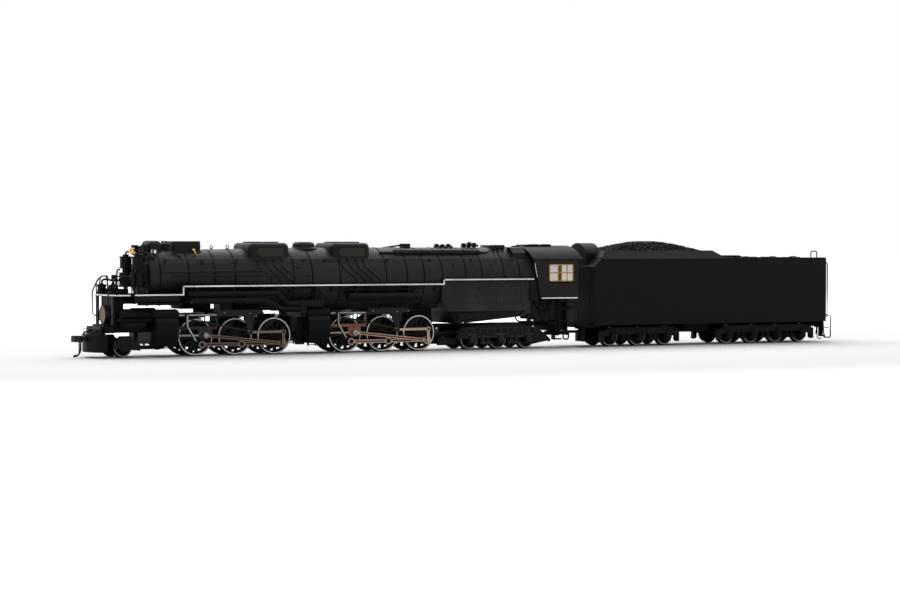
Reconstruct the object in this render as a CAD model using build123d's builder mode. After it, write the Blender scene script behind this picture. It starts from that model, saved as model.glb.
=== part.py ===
"""Model steam locomotive with tender: an articulated freight engine with a leading axle, two sets of three
coupled axles, a six-wheel trailing truck and a tender on a six-wheel and an eight-wheel truck.

The frame has +X forward, +Y to the left and +Z up, with z = 0 where the wheel flanges touch the floor.
Places along the engine are stations: millimetres behind the leading axle.
"""

import os
from math import cos, radians, sin, sqrt

from build123d import *

# Overall length, width and running clearances
length_over_couplers = 440.0
coupler_reach = 21.8
tender_coupler_reach = 11.1
lead_axle_x = length_over_couplers / 2 - coupler_reach
tender_rear = length_over_couplers - coupler_reach - tender_coupler_reach
half_width = 18.5
seat_gap = 0.05
pin_clearance = 0.06

# Wheels: half the back-to-back distance, width, flange and rim, then the tread radius of each kind
wheel_back = 7.2
wheel_width = 2.6
wheel_face = wheel_back + wheel_width
flange_depth = 0.5
flange_width = 0.9
rim_depth = 0.9
driver_tread = 8.9
lead_tread = 4.5
carrying_tread = 5.0
driver_axle_radius = 1.5
axle_radius = 1.0
journal_radius = 0.8
journal_end = 11.6

# Axle stations
driver_pitch = 20.7
front_first_driver = 37.0
rear_first_driver = 116.9
trailing_first = 187.4
trailing_pitch = 16.6
tender_front_first = 271.9
tender_front_pitch = 17.2
tender_rear_overhang = 60.9
tender_rear_pitch = 16.27
trailing_axles = [trailing_first + trailing_pitch * i for i in range(3)]
tender_front_axles = [tender_front_first + tender_front_pitch * i for i in range(3)]
tender_rear_axles = [tender_rear - tender_rear_overhang + tender_rear_pitch * i for i in range(4)]

# Driver spokes, hub, crank boss and counterweight
spoke_count = 12
spoke_inner = 3.4
spoke_length = 3.9
spoke_root_gap = 0.6
spoke_rim_gap = 2.5
web_recess = 0.8
hub_radius = 2.6
crank_boss_radius = 2.2
crank_boss_height = 0.2
counterweight_chord = 5.0

# Cranks: throw, and angle from +X towards +Z on each side, a quarter turn apart
crank_radius = 4.8
crank_angles = {"left": 232.0, "right": 322.0}
crank_pin_radius = 1.0
eccentric_radius = 3.3
eccentric_lag = 92.0
eccentric_pin_radius = 0.6

# Layers of the motion from the wheel face outwards, as (inner face, outer face)
side_rod_layer = (10.2, 11.2)
crosshead_layer = (11.7, 12.9)
main_rod_layer = (13.2, 14.2)
return_crank_layer = (14.5, 15.2)
eccentric_rod_layer = (15.4, 16.1)
gear_layer = (16.5, 17.4)
pin_head = 0.2

# Rods: eye radii, depth of the bars and their flutes, and the places that the free ends reach at rest
side_eye_radius = 1.8
side_rod_depth = 1.7
flute_half = 0.4
flute_depth = 0.3
flute_margin = 0.5
main_eye_radius = 2.0
wrist_eye_radius = 1.4
wrist_offset = 3.9
wrist_height = 10.2
eccentric_eye_radius = 1.1
link_foot_offset = 25.4
link_foot_height = 11.4

# Cylinders, measured from the first driver of their own engine
cylinder_offset = -23.5
cylinder_length = 11.5
cylinder_lateral = 12.3
cylinder_outer = 19.0
cylinder_bottom = 5.6
cylinder_top = 19.0
head_radius = 4.2
head_thickness = 0.8
head_step = 0.4
valve_lateral = 15.2
valve_height = 20.6
valve_radius = 2.6
saddle_half_width = 12.0

# Boiler: rear barrel inside the boards' reach, smokebox of a smaller radius on a higher axis, and firebox
board_reach = 2.7
taper_drop = 2.9
axis_rise = 2.05
barrel_radius = half_width - board_reach
barrel_height = 36.8
smokebox_radius = barrel_radius - taper_drop
smokebox_height = barrel_height + axis_rise
barrel_crown = barrel_height + barrel_radius
smokebox_crown = smokebox_height + smokebox_radius
smokebox_start = 13.5
taper_start = 46.0
taper_end = 95.0
boiler_end = 224.9
firebox_start = 168.0
firebox_end = 219.0
firebox_inset = 1.7
firebox_half_width = half_width - firebox_inset
firebox_bottom = 20.0
front_plate_thickness = 0.9

# Running boards: top heights of the three levels and the stations where they change
board_thickness = 0.9
board_start = 3.0
board_step = 27.2
board_end = 221.0
low_board = 30.4
middle_board = 34.4
high_board = 36.6
board_tuck = 3.9
barrel_tuck = 1.8
pump_tuck = 2.5

# Chassis blocks between the wheels
chassis_half_width = 5.8
chassis_bottom = 4.5
chassis_top = 16.5
hinge_station = 89.5
hinge_pin_radius = 1.2
tongue_bottom = 6.0
tongue_top = 8.1
tail_bottom = 11.6
tail_top = 13.4
tail_block_start = 236.0

# Cab
cab_bottom = 26.0
cab_front_wall = 225.0
cab_rear = 247.2
cab_wall = 0.9
cab_eave = 46.5
roof_top = 53.6
roof_thickness = 0.8
roof_start = 220.3
roof_end = 250.0
roof_overhang = 0.3
window_start = 229.9
window_end = 244.4
window_bottom = 34.9
window_top = 43.9

# Tender body and drawbar
tender_front = 257.2
tender_bottom = 11.6
tender_top = 46.6
bunker_start = 262.0
bunker_end = 334.0
bunker_toe = 341.0
bunker_top = 50.9
bunker_half_width = 14.6
coal_start = 268.0
coal_end = 331.5
coal_floor = 45.0
coal_half_width = 13.4
engine_drawbar_pin = 241.0
tender_drawbar_pin = 260.0
drawbar_bottom = 7.3
drawbar_top = 8.6
sill_half_width = 3.2
sill_bottom = 9.3

# Trucks with side frames outside the wheels
truck_inner = 10.9
truck_thickness = 2.4
journal_box_half = 2.1
journal_box_bottom = 3.0
journal_box_proud = 0.7
journal_cover_radius = 1.35
journal_cover_proud = 0.3
spring_radius = 1.0
spring_offset = 1.6
spring_plank_half = 3.2
spring_plank_heights = (2.9, 3.7)
guard_half = 0.8
guard_heights = (2.2, 8.2)
transom_bottom = 7.0
transom_top = 9.0
transom_half = 1.3
spine_half_width = 2.8
king_pin_radius = 1.2
lead_pivot = 21.0
trailing_pivot = 172.0

wire_radius = 0.3

os.makedirs("parts", exist_ok=True)


# Drawing planes


def x_at(station):
    """Frame X of a station."""
    return lead_axle_x - station


def side_view(lateral=0.0):
    """Plane drawn in (station, height), extruding towards the left."""
    return Plane(origin=(lead_axle_x, lateral, 0), x_dir=(-1, 0, 0), z_dir=(0, 1, 0))


def cross_view(station):
    """Plane drawn in (distance to the right, height), extruding backwards."""
    return Plane(origin=(x_at(station), 0, 0), x_dir=(0, -1, 0), z_dir=(-1, 0, 0))


def plan_view(height):
    """Plane drawn in (station, distance to the right), extruding upwards."""
    return Plane(origin=(lead_axle_x, 0, height), x_dir=(-1, 0, 0), z_dir=(0, 0, 1))


# Forms that many pieces share, added to the part that is open


def block(stations, laterals, heights, mode=Mode.ADD):
    """A square block between two stations, two laterals and two heights."""
    with Locations((x_at(sum(stations) / 2), sum(laterals) / 2, sum(heights) / 2)):
        Box(stations[1] - stations[0], laterals[1] - laterals[0], heights[1] - heights[0], mode=mode)


def plate(points, laterals, mode=Mode.ADD):
    """An outline in (station, height) extruded from one lateral to another."""
    with BuildSketch(side_view(laterals[0])) as outline:
        Polygon(*points, align=None)
    extrude(outline.sketch, amount=laterals[1] - laterals[0], mode=mode)


def bar_along(stations, lateral, height, radius, mode=Mode.ADD):
    """A round bar or tank lying along the engine."""
    with BuildSketch(cross_view(stations[0])) as section:
        with Locations((-lateral, height)):
            Circle(radius)
    extrude(section.sketch, amount=stations[1] - stations[0], mode=mode)


def post(station, lateral, heights, radius, mode=Mode.ADD):
    """An upright round post, pin or hole."""
    with BuildSketch(plan_view(heights[0])) as section:
        with Locations((station, -lateral)):
            Circle(radius)
    extrude(section.sketch, amount=heights[1] - heights[0], mode=mode)


def disc(centre, laterals, radius, mode=Mode.ADD):
    """A round disc, pin or hole across the engine, centred at (station, height)."""
    with BuildSketch(side_view(laterals[0])) as section:
        with Locations(centre):
            Circle(radius)
    extrude(section.sketch, amount=laterals[1] - laterals[0], mode=mode)


def link(start, end, laterals, start_half, end_half, mode=Mode.ADD):
    """A flat bar between two (station, height) places, tapering from one half depth to the other."""
    along = (Vector(*end) - Vector(*start)).normalized()
    across = Vector(-along.Y, along.X)
    corners = [
        Vector(*start) + across * start_half,
        Vector(*end) + across * end_half,
        Vector(*end) - across * end_half,
        Vector(*start) - across * start_half,
    ]
    plate([(corner.X, corner.Y) for corner in corners], laterals, mode)


def wire(points, bend_radius):
    """A round wire through (station, lateral, height) places, with rounded corners."""
    with BuildLine() as path:
        FilletPolyline(*[(x_at(s), y, z) for s, y, z in points], radius=bend_radius)
    with BuildSketch(Plane(origin=path.line @ 0, z_dir=path.line % 0)) as section:
        Circle(wire_radius)
    sweep(section.sketch, path=path.line)


def barrel(clearance=0.0):
    """The boiler's smokebox, taper and rear barrel, grown by a clearance."""
    courses = [
        (smokebox_start, smokebox_radius, smokebox_height),
        (taper_start, smokebox_radius, smokebox_height),
        (taper_end, barrel_radius, barrel_height),
        (boiler_end, barrel_radius, barrel_height),
    ]
    rings = []
    for station, radius, height in courses:
        with BuildSketch(cross_view(station)) as ring:
            with Locations((0, height)):
                Circle(radius + clearance)
        rings.append(ring.sketch.face())
    for front, back in zip(rings, rings[1:]):
        loft([front, back])


def keep(name, build):
    """Labels a finished piece and writes it."""
    build.part.label = name
    export_step(build.part, f"parts/{name}.step")


def sided(side, layer):
    """A layer's two laterals on the named side."""
    sign = 1 if side == "left" else -1
    return sign * layer[0], sign * layer[1]


with BuildPart() as boiler_room:
    barrel(seat_gap)


# Plain wheelsets: an axle, two dished wheels and the journals that run in the side frames


def plain_wheelset(name, station, tread):
    flange = tread + flange_depth
    section = Plane(origin=(x_at(station), 0, flange), x_dir=(0, 1, 0), z_dir=(1, 0, 0))
    with BuildPart() as wheelset:
        with BuildSketch(section):
            with BuildLine():
                Polyline(
                    (0, 0),
                    (0, axle_radius),
                    (wheel_back, axle_radius),
                    (wheel_back, flange),
                    (wheel_back + flange_width, tread),
                    (wheel_face, tread),
                    (wheel_face, tread - rim_depth),
                    (wheel_face - rim_depth, journal_radius),
                    (journal_end, journal_radius),
                    (journal_end, 0),
                    close=True,
                )
            make_face()
        revolve(axis=Axis((x_at(station), 0, flange), (0, 1, 0)))
        mirror(about=Plane.XZ)
    keep(name, wheelset)


plain_wheelset("lead_wheelset", 0.0, lead_tread)
for family, axles in (
    ("trailing", trailing_axles),
    ("tender_front", tender_front_axles),
    ("tender_rear", tender_rear_axles),
):
    for number, station in enumerate(axles, 1):
        plain_wheelset(f"{family}_wheelset_{number}", station, carrying_tread)


# Drivers: spoked wheels, counterweights opposite the cranks, and crank pins quartered left to right

driver_height = driver_tread + flange_depth
rim_inner = driver_tread - rim_depth


def on_driver(station, radius, angle):
    """(station, height) of a place that turns with the driver at a station."""
    return station - radius * cos(radians(angle)), driver_height + radius * sin(radians(angle))


def driver_body(station):
    section = Plane(origin=(x_at(station), 0, driver_height), x_dir=(0, 1, 0), z_dir=(1, 0, 0))
    with BuildSketch(section) as half:
        with BuildLine():
            Polyline(
                (0, 0),
                (0, driver_axle_radius),
                (wheel_back, driver_axle_radius),
                (wheel_back, driver_height),
                (wheel_back + flange_width, driver_tread),
                (wheel_face, driver_tread),
                (wheel_face, rim_inner),
                (wheel_face - web_recess, rim_inner),
                (wheel_face - web_recess, hub_radius),
                (wheel_face, hub_radius),
                (wheel_face, 0),
                close=True,
            )
        make_face()
    revolve(half.sketch, axis=Axis((x_at(station), 0, driver_height), (0, 1, 0)))
    mirror(about=Plane.XZ)


def driver_spokes(station, side, angle):
    """Cuts the openings between the spokes, then fills the counterweight."""
    back, face = sided(side, (wheel_back, wheel_face))
    crank_turn = 180 - angle
    spoke_turn = crank_turn + 180 / spoke_count
    with BuildSketch(side_view(back)) as openings:
        with Locations((station, driver_height)):
            with PolarLocations(spoke_inner, spoke_count, start_angle=spoke_turn):
                Polygon(
                    (0, -spoke_root_gap / 2),
                    (spoke_length, -spoke_rim_gap / 2),
                    (spoke_length, spoke_rim_gap / 2),
                    (0, spoke_root_gap / 2),
                    align=None,
                )
    extrude(openings.sketch, amount=face - back, mode=Mode.SUBTRACT)
    with BuildSketch(side_view(back)) as counterweight:
        with Locations(Location((station, driver_height, 0), (0, 0, crank_turn))):
            Circle(rim_inner + flange_depth)
            with Locations((driver_tread - counterweight_chord, 0)):
                Rectangle(2 * driver_tread, 2 * driver_tread, mode=Mode.SUBTRACT)
    extrude(counterweight.sketch, amount=face - back)


def driver(name, station, carries_main_rod):
    with BuildPart() as wheelset:
        driver_body(station)
        for side, angle in crank_angles.items():
            driver_spokes(station, side, angle)
            pin = on_driver(station, crank_radius, angle)
            disc(pin, sided(side, (wheel_back, wheel_face + crank_boss_height)), crank_boss_radius)
            if carries_main_rod:
                tip = on_driver(station, eccentric_radius, angle - eccentric_lag)
                disc(pin, sided(side, (wheel_face, return_crank_layer[1])), crank_pin_radius)
                disc(pin, sided(side, return_crank_layer), crank_pin_radius + pin_head)
                disc(tip, sided(side, return_crank_layer), crank_pin_radius)
                link(pin, tip, sided(side, return_crank_layer), crank_pin_radius, eccentric_pin_radius)
                pin_length = (return_crank_layer[0], eccentric_rod_layer[1] + pin_head)
                disc(tip, sided(side, pin_length), eccentric_pin_radius)
            else:
                disc(pin, sided(side, (wheel_face, side_rod_layer[1] + pin_head)), crank_pin_radius)
    keep(name, wheelset)


engines = (("front", front_first_driver), ("rear", rear_first_driver))
for engine, first in engines:
    for number in range(3):
        driver(f"{engine}_driver_{number + 1}", first + driver_pitch * number, number == 2)


# Rods: the coupled side rod and the main rod hang on the third driver's crank pin


def flute(start, end, laterals, eye_radius):
    """Mills a groove along the outer face of a rod between two eyes."""
    along = (Vector(*end) - Vector(*start)).normalized()
    groove_start = Vector(*start) + along * (eye_radius + flute_margin)
    groove_end = Vector(*end) - along * (eye_radius + flute_margin)
    outer = laterals[1]
    floor = outer - flute_depth if outer > 0 else outer + flute_depth
    link(
        (groove_start.X, groove_start.Y),
        (groove_end.X, groove_end.Y),
        (floor, outer),
        flute_half,
        flute_half,
        Mode.SUBTRACT,
    )


def rods(engine, first, side):
    angle = crank_angles[side]
    pins = [on_driver(first + driver_pitch * number, crank_radius, angle) for number in range(3)]
    main_pin = pins[2]
    shift = main_pin[0] - on_driver(first + 2 * driver_pitch, crank_radius, crank_angles["left"])[0]
    wrist = (first + wrist_offset + shift, wrist_height)
    side_layer = sided(side, side_rod_layer)
    main_layer = sided(side, main_rod_layer)
    with BuildPart() as rod_set:
        link(pins[0], main_pin, side_layer, side_rod_depth / 2, side_rod_depth / 2)
        link(wrist, main_pin, main_layer, wrist_eye_radius / 2, side_rod_depth / 2)
        disc(wrist, main_layer, wrist_eye_radius)
        disc(main_pin, main_layer, main_eye_radius)
        for pin in pins:
            disc(pin, side_layer, side_eye_radius)
        for front_pin, back_pin in zip(pins, pins[1:]):
            flute(front_pin, back_pin, side_layer, side_eye_radius)
        flute(wrist, main_pin, main_layer, main_eye_radius)
        for pin in pins:
            disc(pin, side_layer, crank_pin_radius + pin_clearance, mode=Mode.SUBTRACT)
        disc(main_pin, main_layer, crank_pin_radius + pin_clearance, mode=Mode.SUBTRACT)
    keep(f"{engine}_rods_{side}", rod_set)


def eccentric_rod(engine, first, side):
    angle = crank_angles[side] - eccentric_lag
    third = first + 2 * driver_pitch
    tip = on_driver(third, eccentric_radius, angle)
    left_tip = on_driver(third, eccentric_radius, crank_angles["left"] - eccentric_lag)
    foot = (first + link_foot_offset + tip[0] - left_tip[0], link_foot_height + tip[1] - left_tip[1])
    layer = sided(side, eccentric_rod_layer)
    with BuildPart() as rod:
        link(foot, tip, layer, eccentric_pin_radius, eccentric_pin_radius)
        for end in (foot, tip):
            disc(end, layer, eccentric_eye_radius)
        for end in (foot, tip):
            disc(end, layer, eccentric_pin_radius + pin_clearance, mode=Mode.SUBTRACT)
    keep(f"{engine}_eccentric_rod_{side}", rod)


for engine, first in engines:
    for side in crank_angles:
        rods(engine, first, side)
        eccentric_rod(engine, first, side)


# Cylinders: one casting across the engine, with piston cylinders below and valve chests above

cylinder_shoulder = 12.8
cylinder_keel = 15.2
saddle_bottom = 7.0
saddle_top = 17.5


def cylinder_casting(front):
    back = front + cylinder_length
    block((front, back), (-saddle_half_width, saddle_half_width), (saddle_bottom, saddle_top))
    with BuildSketch(cross_view(front)) as jacket:
        with BuildLine():
            Polyline(
                (-saddle_half_width + 2, cylinder_top),
                (-saddle_half_width + 2, cylinder_bottom + 1),
                (-saddle_half_width, cylinder_bottom),
                (-cylinder_keel, cylinder_bottom),
            )
            Line((-cylinder_outer, cylinder_shoulder), (-cylinder_outer, cylinder_top - 2))
            ThreePointArc(
                (-cylinder_keel, cylinder_bottom),
                (-cylinder_outer + 1.1, cylinder_bottom + 2.9),
                (-cylinder_outer, cylinder_shoulder),
            )
            Polyline(
                (-cylinder_outer, cylinder_top - 2),
                (-valve_lateral - 2.2, cylinder_top),
                (-saddle_half_width + 2, cylinder_top),
            )
        make_face()
    extrude(jacket.sketch, amount=cylinder_length)
    bar_along((front, back), valve_lateral, valve_height, valve_radius)
    for lateral, height, radius in (
        (cylinder_lateral, wrist_height, head_radius),
        (valve_lateral, valve_height, valve_radius - head_step),
    ):
        bar_along((front - head_thickness, back + head_thickness), lateral, height, radius)
        cover = (front - head_thickness - head_step, back + head_thickness)
        bar_along(cover, lateral, height, radius - 3 * head_step)
    mirror(about=Plane.XZ)


front_cylinder_start = front_first_driver + cylinder_offset
rear_cylinder_start = rear_first_driver + cylinder_offset

with BuildPart() as front_cylinders:
    cylinder_casting(front_cylinder_start)
    post(lead_pivot, 0, (3.2, saddle_bottom), king_pin_radius)
keep("front_cylinders", front_cylinders)

jaw_bottom = 8.4
jaw_top = 10.4
apron_laterals = (9.4, 12.4)
apron_heights = (4.8, 18.4)
with BuildPart() as rear_cylinders:
    cylinder_casting(rear_cylinder_start)
    block(
        (rear_cylinder_start, rear_cylinder_start + cylinder_length),
        (-saddle_half_width + 3, saddle_half_width - 3),
        (saddle_top, barrel_height - barrel_radius / 2),
    )
    block((hinge_station - 2.4, rear_cylinder_start), (-3, 3), (jaw_bottom, jaw_top))
    post(hinge_station, 0, (tongue_bottom - 0.4, jaw_bottom), hinge_pin_radius)
    for side in crank_angles:
        apron = sorted(sided(side, apron_laterals))
        block((hinge_station + 0.1, rear_cylinder_start + 0.1), apron, apron_heights)
    add(boiler_room.part, mode=Mode.SUBTRACT)
keep("rear_cylinders", rear_cylinders)


# Fixed motion: guide bars, crossheads with piston rods, valve stems and the valve-gear hangers

guide_heights = (13.1, 14.6)
yoke_heights = (19.5, 20.7)
yoke_offset = 9.85
yoke_thickness = 1.0
gear_hanger = [
    (9.35, 19.4),
    (9.35, 22.4),
    (31.5, 22.4),
    (33.0, 21.0),
    (28.3, 19.8),
    (27.2, 15.0),
    (26.7, 10.2),
    (24.4, 10.2),
    (23.6, 15.2),
    (22.0, 19.4),
]
lever_offset = -7.0
lever_knee_height = 14.7
lever_foot = (-2.6, 7.6)
lever_half = 0.55
radius_rod = ((-7.0, 18.5), (24.8, 12.1))
radius_rod_half = 0.4


def motion(engine, first):
    rear_of_cylinder = first + cylinder_offset + cylinder_length + head_thickness
    yoke = (first + yoke_offset - yoke_thickness / 2, first + yoke_offset + yoke_thickness / 2)
    wrist = first + wrist_offset
    with BuildPart() as fixed_motion:
        block((rear_of_cylinder, yoke[1]), crosshead_layer, guide_heights)
        block(yoke, crosshead_layer, (guide_heights[1] - 0.5, yoke_heights[1]))
        block(yoke, (3.0, gear_layer[1]), yoke_heights)
        block(yoke, gear_layer, (yoke_heights[0] - 0.5, yoke_heights[1] + 0.5))
        plate([(first + s, z) for s, z in gear_hanger], gear_layer)
        stem_height = yoke_heights[0] + 0.6
        bar_along((rear_of_cylinder, yoke[0] + 0.5), valve_lateral, stem_height, 0.5)
        lever_top = (first + lever_offset, stem_height)
        lever_knee = (first + lever_offset, lever_knee_height)
        link(lever_top, lever_knee, gear_layer, lever_half, lever_half)
        link(lever_knee, (first + lever_foot[0], lever_foot[1]), gear_layer, lever_half, lever_half)
        disc(lever_knee, gear_layer, lever_half)
        disc(lever_top, (valve_lateral - lever_half, gear_layer[1]), 1.5 * lever_half)
        rod_ends = [(first + s, z) for s, z in radius_rod]
        link(rod_ends[0], rod_ends[1], gear_layer, radius_rod_half, radius_rod_half)
        plate(
            [
                (wrist - 3.6, guide_heights[0] - 0.15),
                (wrist - 3.6, wrist_height - 0.8),
                (wrist - 1.2, wrist_height - 1.9),
                (wrist + 1.4, wrist_height - 1.9),
                (wrist + 3.4, wrist_height + 0.2),
                (wrist + 3.4, guide_heights[0] - 0.15),
            ],
            crosshead_layer,
        )
        bar_along((rear_of_cylinder, wrist - 3.0), cylinder_lateral, wrist_height, 0.6)
        mirror(about=Plane.XZ)
    keep(f"{engine}_motion", fixed_motion)


for engine, first in engines:
    motion(engine, first)


# Chassis: cast blocks between the wheels, notched from below for the driver axles

axle_slot_clearance = 0.15
notch_half = driver_axle_radius + axle_slot_clearance


def chassis_block(first, stations):
    block(stations, (-chassis_half_width, chassis_half_width), (chassis_bottom, chassis_top))
    for number in range(3):
        axle = first + driver_pitch * number
        across = (-chassis_half_width, chassis_half_width)
        block((axle - notch_half, axle + notch_half), across, (chassis_bottom, driver_height), Mode.SUBTRACT)
        disc((axle, driver_height), across, notch_half, Mode.SUBTRACT)


slide_pad_top = 20.2
with BuildPart() as front_frame:
    chassis_block(front_first_driver, (front_cylinder_start + cylinder_length, hinge_station - 3.2))
    block((hinge_station - 4, hinge_station), (-2.6, 2.6), (tongue_bottom, tongue_top))
    post(hinge_station, 0, (tongue_bottom, tongue_top), 2.6)
    post(hinge_station, 0, (tongue_bottom, tongue_top), hinge_pin_radius + pin_clearance, Mode.SUBTRACT)
    block((50.0, 62.0), (-4.5, 4.5), (chassis_top, slide_pad_top))
keep("front_frame", front_frame)

bearer_start = 160.0
step_stations = (236.6, 241.6)
step_laterals = (13.6, 17.4)
step_plate = 0.7
step_heights = (8.0, 14.0, 20.0)
with BuildPart() as rear_frame:
    chassis_block(rear_first_driver, (rear_cylinder_start + cylinder_length, firebox_start))
    block((bearer_start, firebox_start), (-5, 5), (chassis_top, barrel_height - barrel_radius / 2))
    block((firebox_start - 1, cab_rear), (-4.8, 4.8), (tail_bottom, tail_top))
    block((tail_block_start, cab_rear - 0.4), (-6, 6), (drawbar_top + 0.4, cab_bottom))
    post(trailing_pivot, 0, (transom_bottom - 0.4, tail_bottom), king_pin_radius)
    post(engine_drawbar_pin, 0, (drawbar_bottom - 0.5, drawbar_top + 0.4), king_pin_radius)
    block(step_stations, (-step_laterals[1], step_laterals[1]), (cab_bottom - 1.6, cab_bottom))
    for lateral in (-sum(step_laterals) / 2, sum(step_laterals) / 2):
        half = (step_laterals[1] - step_laterals[0]) / 2
        for height in step_heights:
            block(step_stations, (lateral - half, lateral + half), (height, height + step_plate))
        for station in (step_stations[0], step_stations[1] - step_plate):
            upright = (step_heights[0], cab_bottom)
            block((station, station + step_plate), (lateral - half, lateral + half), upright)
    add(boiler_room.part, mode=Mode.SUBTRACT)
keep("rear_frame", rear_frame)


# Boiler with its firebox sides, and the sliding saddle over the front engine

saddle_gap = 0.3
with BuildPart() as boiler:
    barrel()
    plate(
        [
            (firebox_start, barrel_height),
            (firebox_start, 26.5),
            (172.0, firebox_bottom),
            (firebox_end - 1.5, firebox_bottom),
            (firebox_end, 24.0),
            (firebox_end, barrel_height),
        ],
        (-firebox_half_width, firebox_half_width),
    )
    block((52.0, 60.0), (-4.0, 4.0), (slide_pad_top + saddle_gap, smokebox_height - smokebox_radius + 2))
keep("boiler", boiler)

with BuildPart() as ash_pan:
    plate(
        [(172.5, firebox_bottom), (176.9, 13.9), (214.4, 17.7), (217.0, firebox_bottom)],
        (-15.5, 15.5),
    )
keep("ash_pan", ash_pan)

# Smokebox front: ring plate, dished door and blank number-board boxes

door_radius = 9.0
door_bulge = 1.3
plate_start = smokebox_start - front_plate_thickness
with BuildPart() as smokebox_plate:
    bar_along((plate_start, smokebox_start), 0, smokebox_height, smokebox_radius)
    door_centre = (x_at(plate_start), 0, smokebox_height)
    with BuildSketch(Plane(origin=door_centre, x_dir=(1, 0, 0), z_dir=(0, -1, 0))):
        with BuildLine():
            Polyline((0, door_radius), (-0.3, 0), (door_bulge, 0))
            ThreePointArc((door_bulge, 0), (door_bulge * 0.8, door_radius * 0.5), (0, door_radius))
        make_face()
    revolve(axis=Axis(door_centre, (1, 0, 0)))
    for lateral in (-6.2, 6.2):
        block((plate_start - 1.6, smokebox_start - 0.2), (lateral - 1.8, lateral + 1.8), (49.2, 53.6))
keep("smokebox_front", smokebox_plate)

# Air pumps on the smokebox front: (radius, bottom, top) of each turned body

pump_station = 8.2
pump_lateral = 8.4
pump_bracket = (9.2, 10.6)
pump_bodies = [(3.1, 33.6, 40.6), (1.7, 40.6, 42.6), (2.8, 42.6, 48.4), (1.5, 48.4, 49.4)]
pump_fins = [(3.45, 33.6 + 1.3 * fin, 34.1 + 1.3 * fin) for fin in range(6)]
pump_flanges = [(3.2, 42.6, 43.1), (3.2, 47.7, 48.2)]
with BuildPart() as air_pumps:
    for radius, bottom, top in pump_bodies + pump_fins + pump_flanges:
        post(pump_station, pump_lateral, (bottom, top), radius)
    block((pump_station, plate_start), pump_bracket, (36.5, 44.5))
    mirror(about=Plane.XZ)
keep("air_pumps", air_pumps)

# Bell in its bracket above the door: (radius, bottom, top) from the lip upwards

bell_station = 8.6
with BuildPart() as bell:
    with BuildSketch(Plane(origin=(x_at(bell_station), 0, 0), x_dir=(1, 0, 0), z_dir=(0, -1, 0))):
        with BuildLine():
            Polyline((1.5, 52.2), (0, 52.9), (0, 49.8), (2.1, 49.8))
            ThreePointArc((2.1, 49.8), (1.45, 50.8), (1.5, 52.2))
        make_face()
    revolve(axis=Axis((x_at(bell_station), 0, 0), (0, 0, 1)))
    block((bell_station - 0.6, plate_start), (-0.6, 0.6), (52.6, 53.4))
    block((plate_start - 0.7, plate_start), (-0.9, 0.9), (48.6, 53.4))
keep("bell", bell)

# Stack: a long casing with two flues on top of the smokebox


def cut_boiler():
    """Cuts the open part to sit on the barrel."""
    add(boiler_room.part, mode=Mode.SUBTRACT)


def rounded_box(stations, half, heights, corner, top_round):
    """A cast box with rounded plan corners and a rounded top edge."""
    with BuildSketch(plan_view(heights[0])) as outline:
        with Locations((sum(stations) / 2, 0)):
            RectangleRounded(stations[1] - stations[0], 2 * half, corner)
    with BuildPart(mode=Mode.PRIVATE) as casting:
        extrude(outline.sketch, amount=heights[1] - heights[0])
        crown = casting.faces().sort_by(Axis.Z)[-1]
        fillet(crown.edges(), top_round)
    add(casting.part)


stack_top = smokebox_crown + 4.05
flue_depth = 2.4
with BuildPart() as stack:
    rounded_box((27.6, 41.8), 5.6, (smokebox_crown - 5.75, stack_top), 1.6, 0.7)
    for flue in (31.4, 38.0):
        post(flue, 0, (stack_top - flue_depth, stack_top), 2.5, Mode.SUBTRACT)
    cut_boiler()
keep("stack", stack)

# Sandboxes, each with recessed side panels and two lids, and the steam dome between them

sandbox_starts = (65.0, 109.2)
sandbox_length = 21.2
sandbox_half = 12.0
sandbox_root = barrel_crown - 10.6
sandbox_top = barrel_crown + 2.4
panel_offsets = (3.4, 17.8)
panel_heights = (barrel_crown - 4.4, barrel_crown)
panel_depth = 0.4
lid_offsets = (2.4, 11.4)
lid_length = 7.4
lid_half = 4.6
lid_rise = 0.5


def sandbox(start):
    """One sandbox from the station where its main casting starts."""
    rounded_box((start, start + sandbox_length), sandbox_half, (sandbox_root, sandbox_top), 3.2, 2.4)
    for offset in lid_offsets:
        lid = (start + offset, start + offset + lid_length)
        rounded_box(lid, lid_half, (sandbox_top - lid_rise, sandbox_top + lid_rise), 1.5, 0.3)
    panel = (start + panel_offsets[0], start + panel_offsets[1])
    for side in crank_angles:
        recess = sorted(sided(side, (sandbox_half - panel_depth, sandbox_half)))
        block(panel, recess, panel_heights, Mode.SUBTRACT)


dome_station = 98.7
dome_profile = (
    (0, -6.6),
    (6.0, -6.6),
    (6.0, -1.2),
    (6.9, -1.2),
    (6.9, -0.4),
    (5.7, 0.2),
    (5.5, 1.8),
    (4.4, 2.8),
    (0, 2.8),
)
with BuildPart() as domes:
    for start in sandbox_starts:
        sandbox(start)
    with BuildSketch(Plane(origin=(x_at(dome_station), 0, 0), x_dir=(1, 0, 0), z_dir=(0, -1, 0))):
        Polygon(*[(radius, barrel_crown + rise) for radius, rise in dome_profile], align=None)
    revolve(axis=Axis((x_at(dome_station), 0, 0), (0, 0, 1)))
    cut_boiler()
keep("domes", domes)

# Fittings on the boiler top: feedwater heater, generator, class lamps, safety valves, turret and dry pipes

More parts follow.
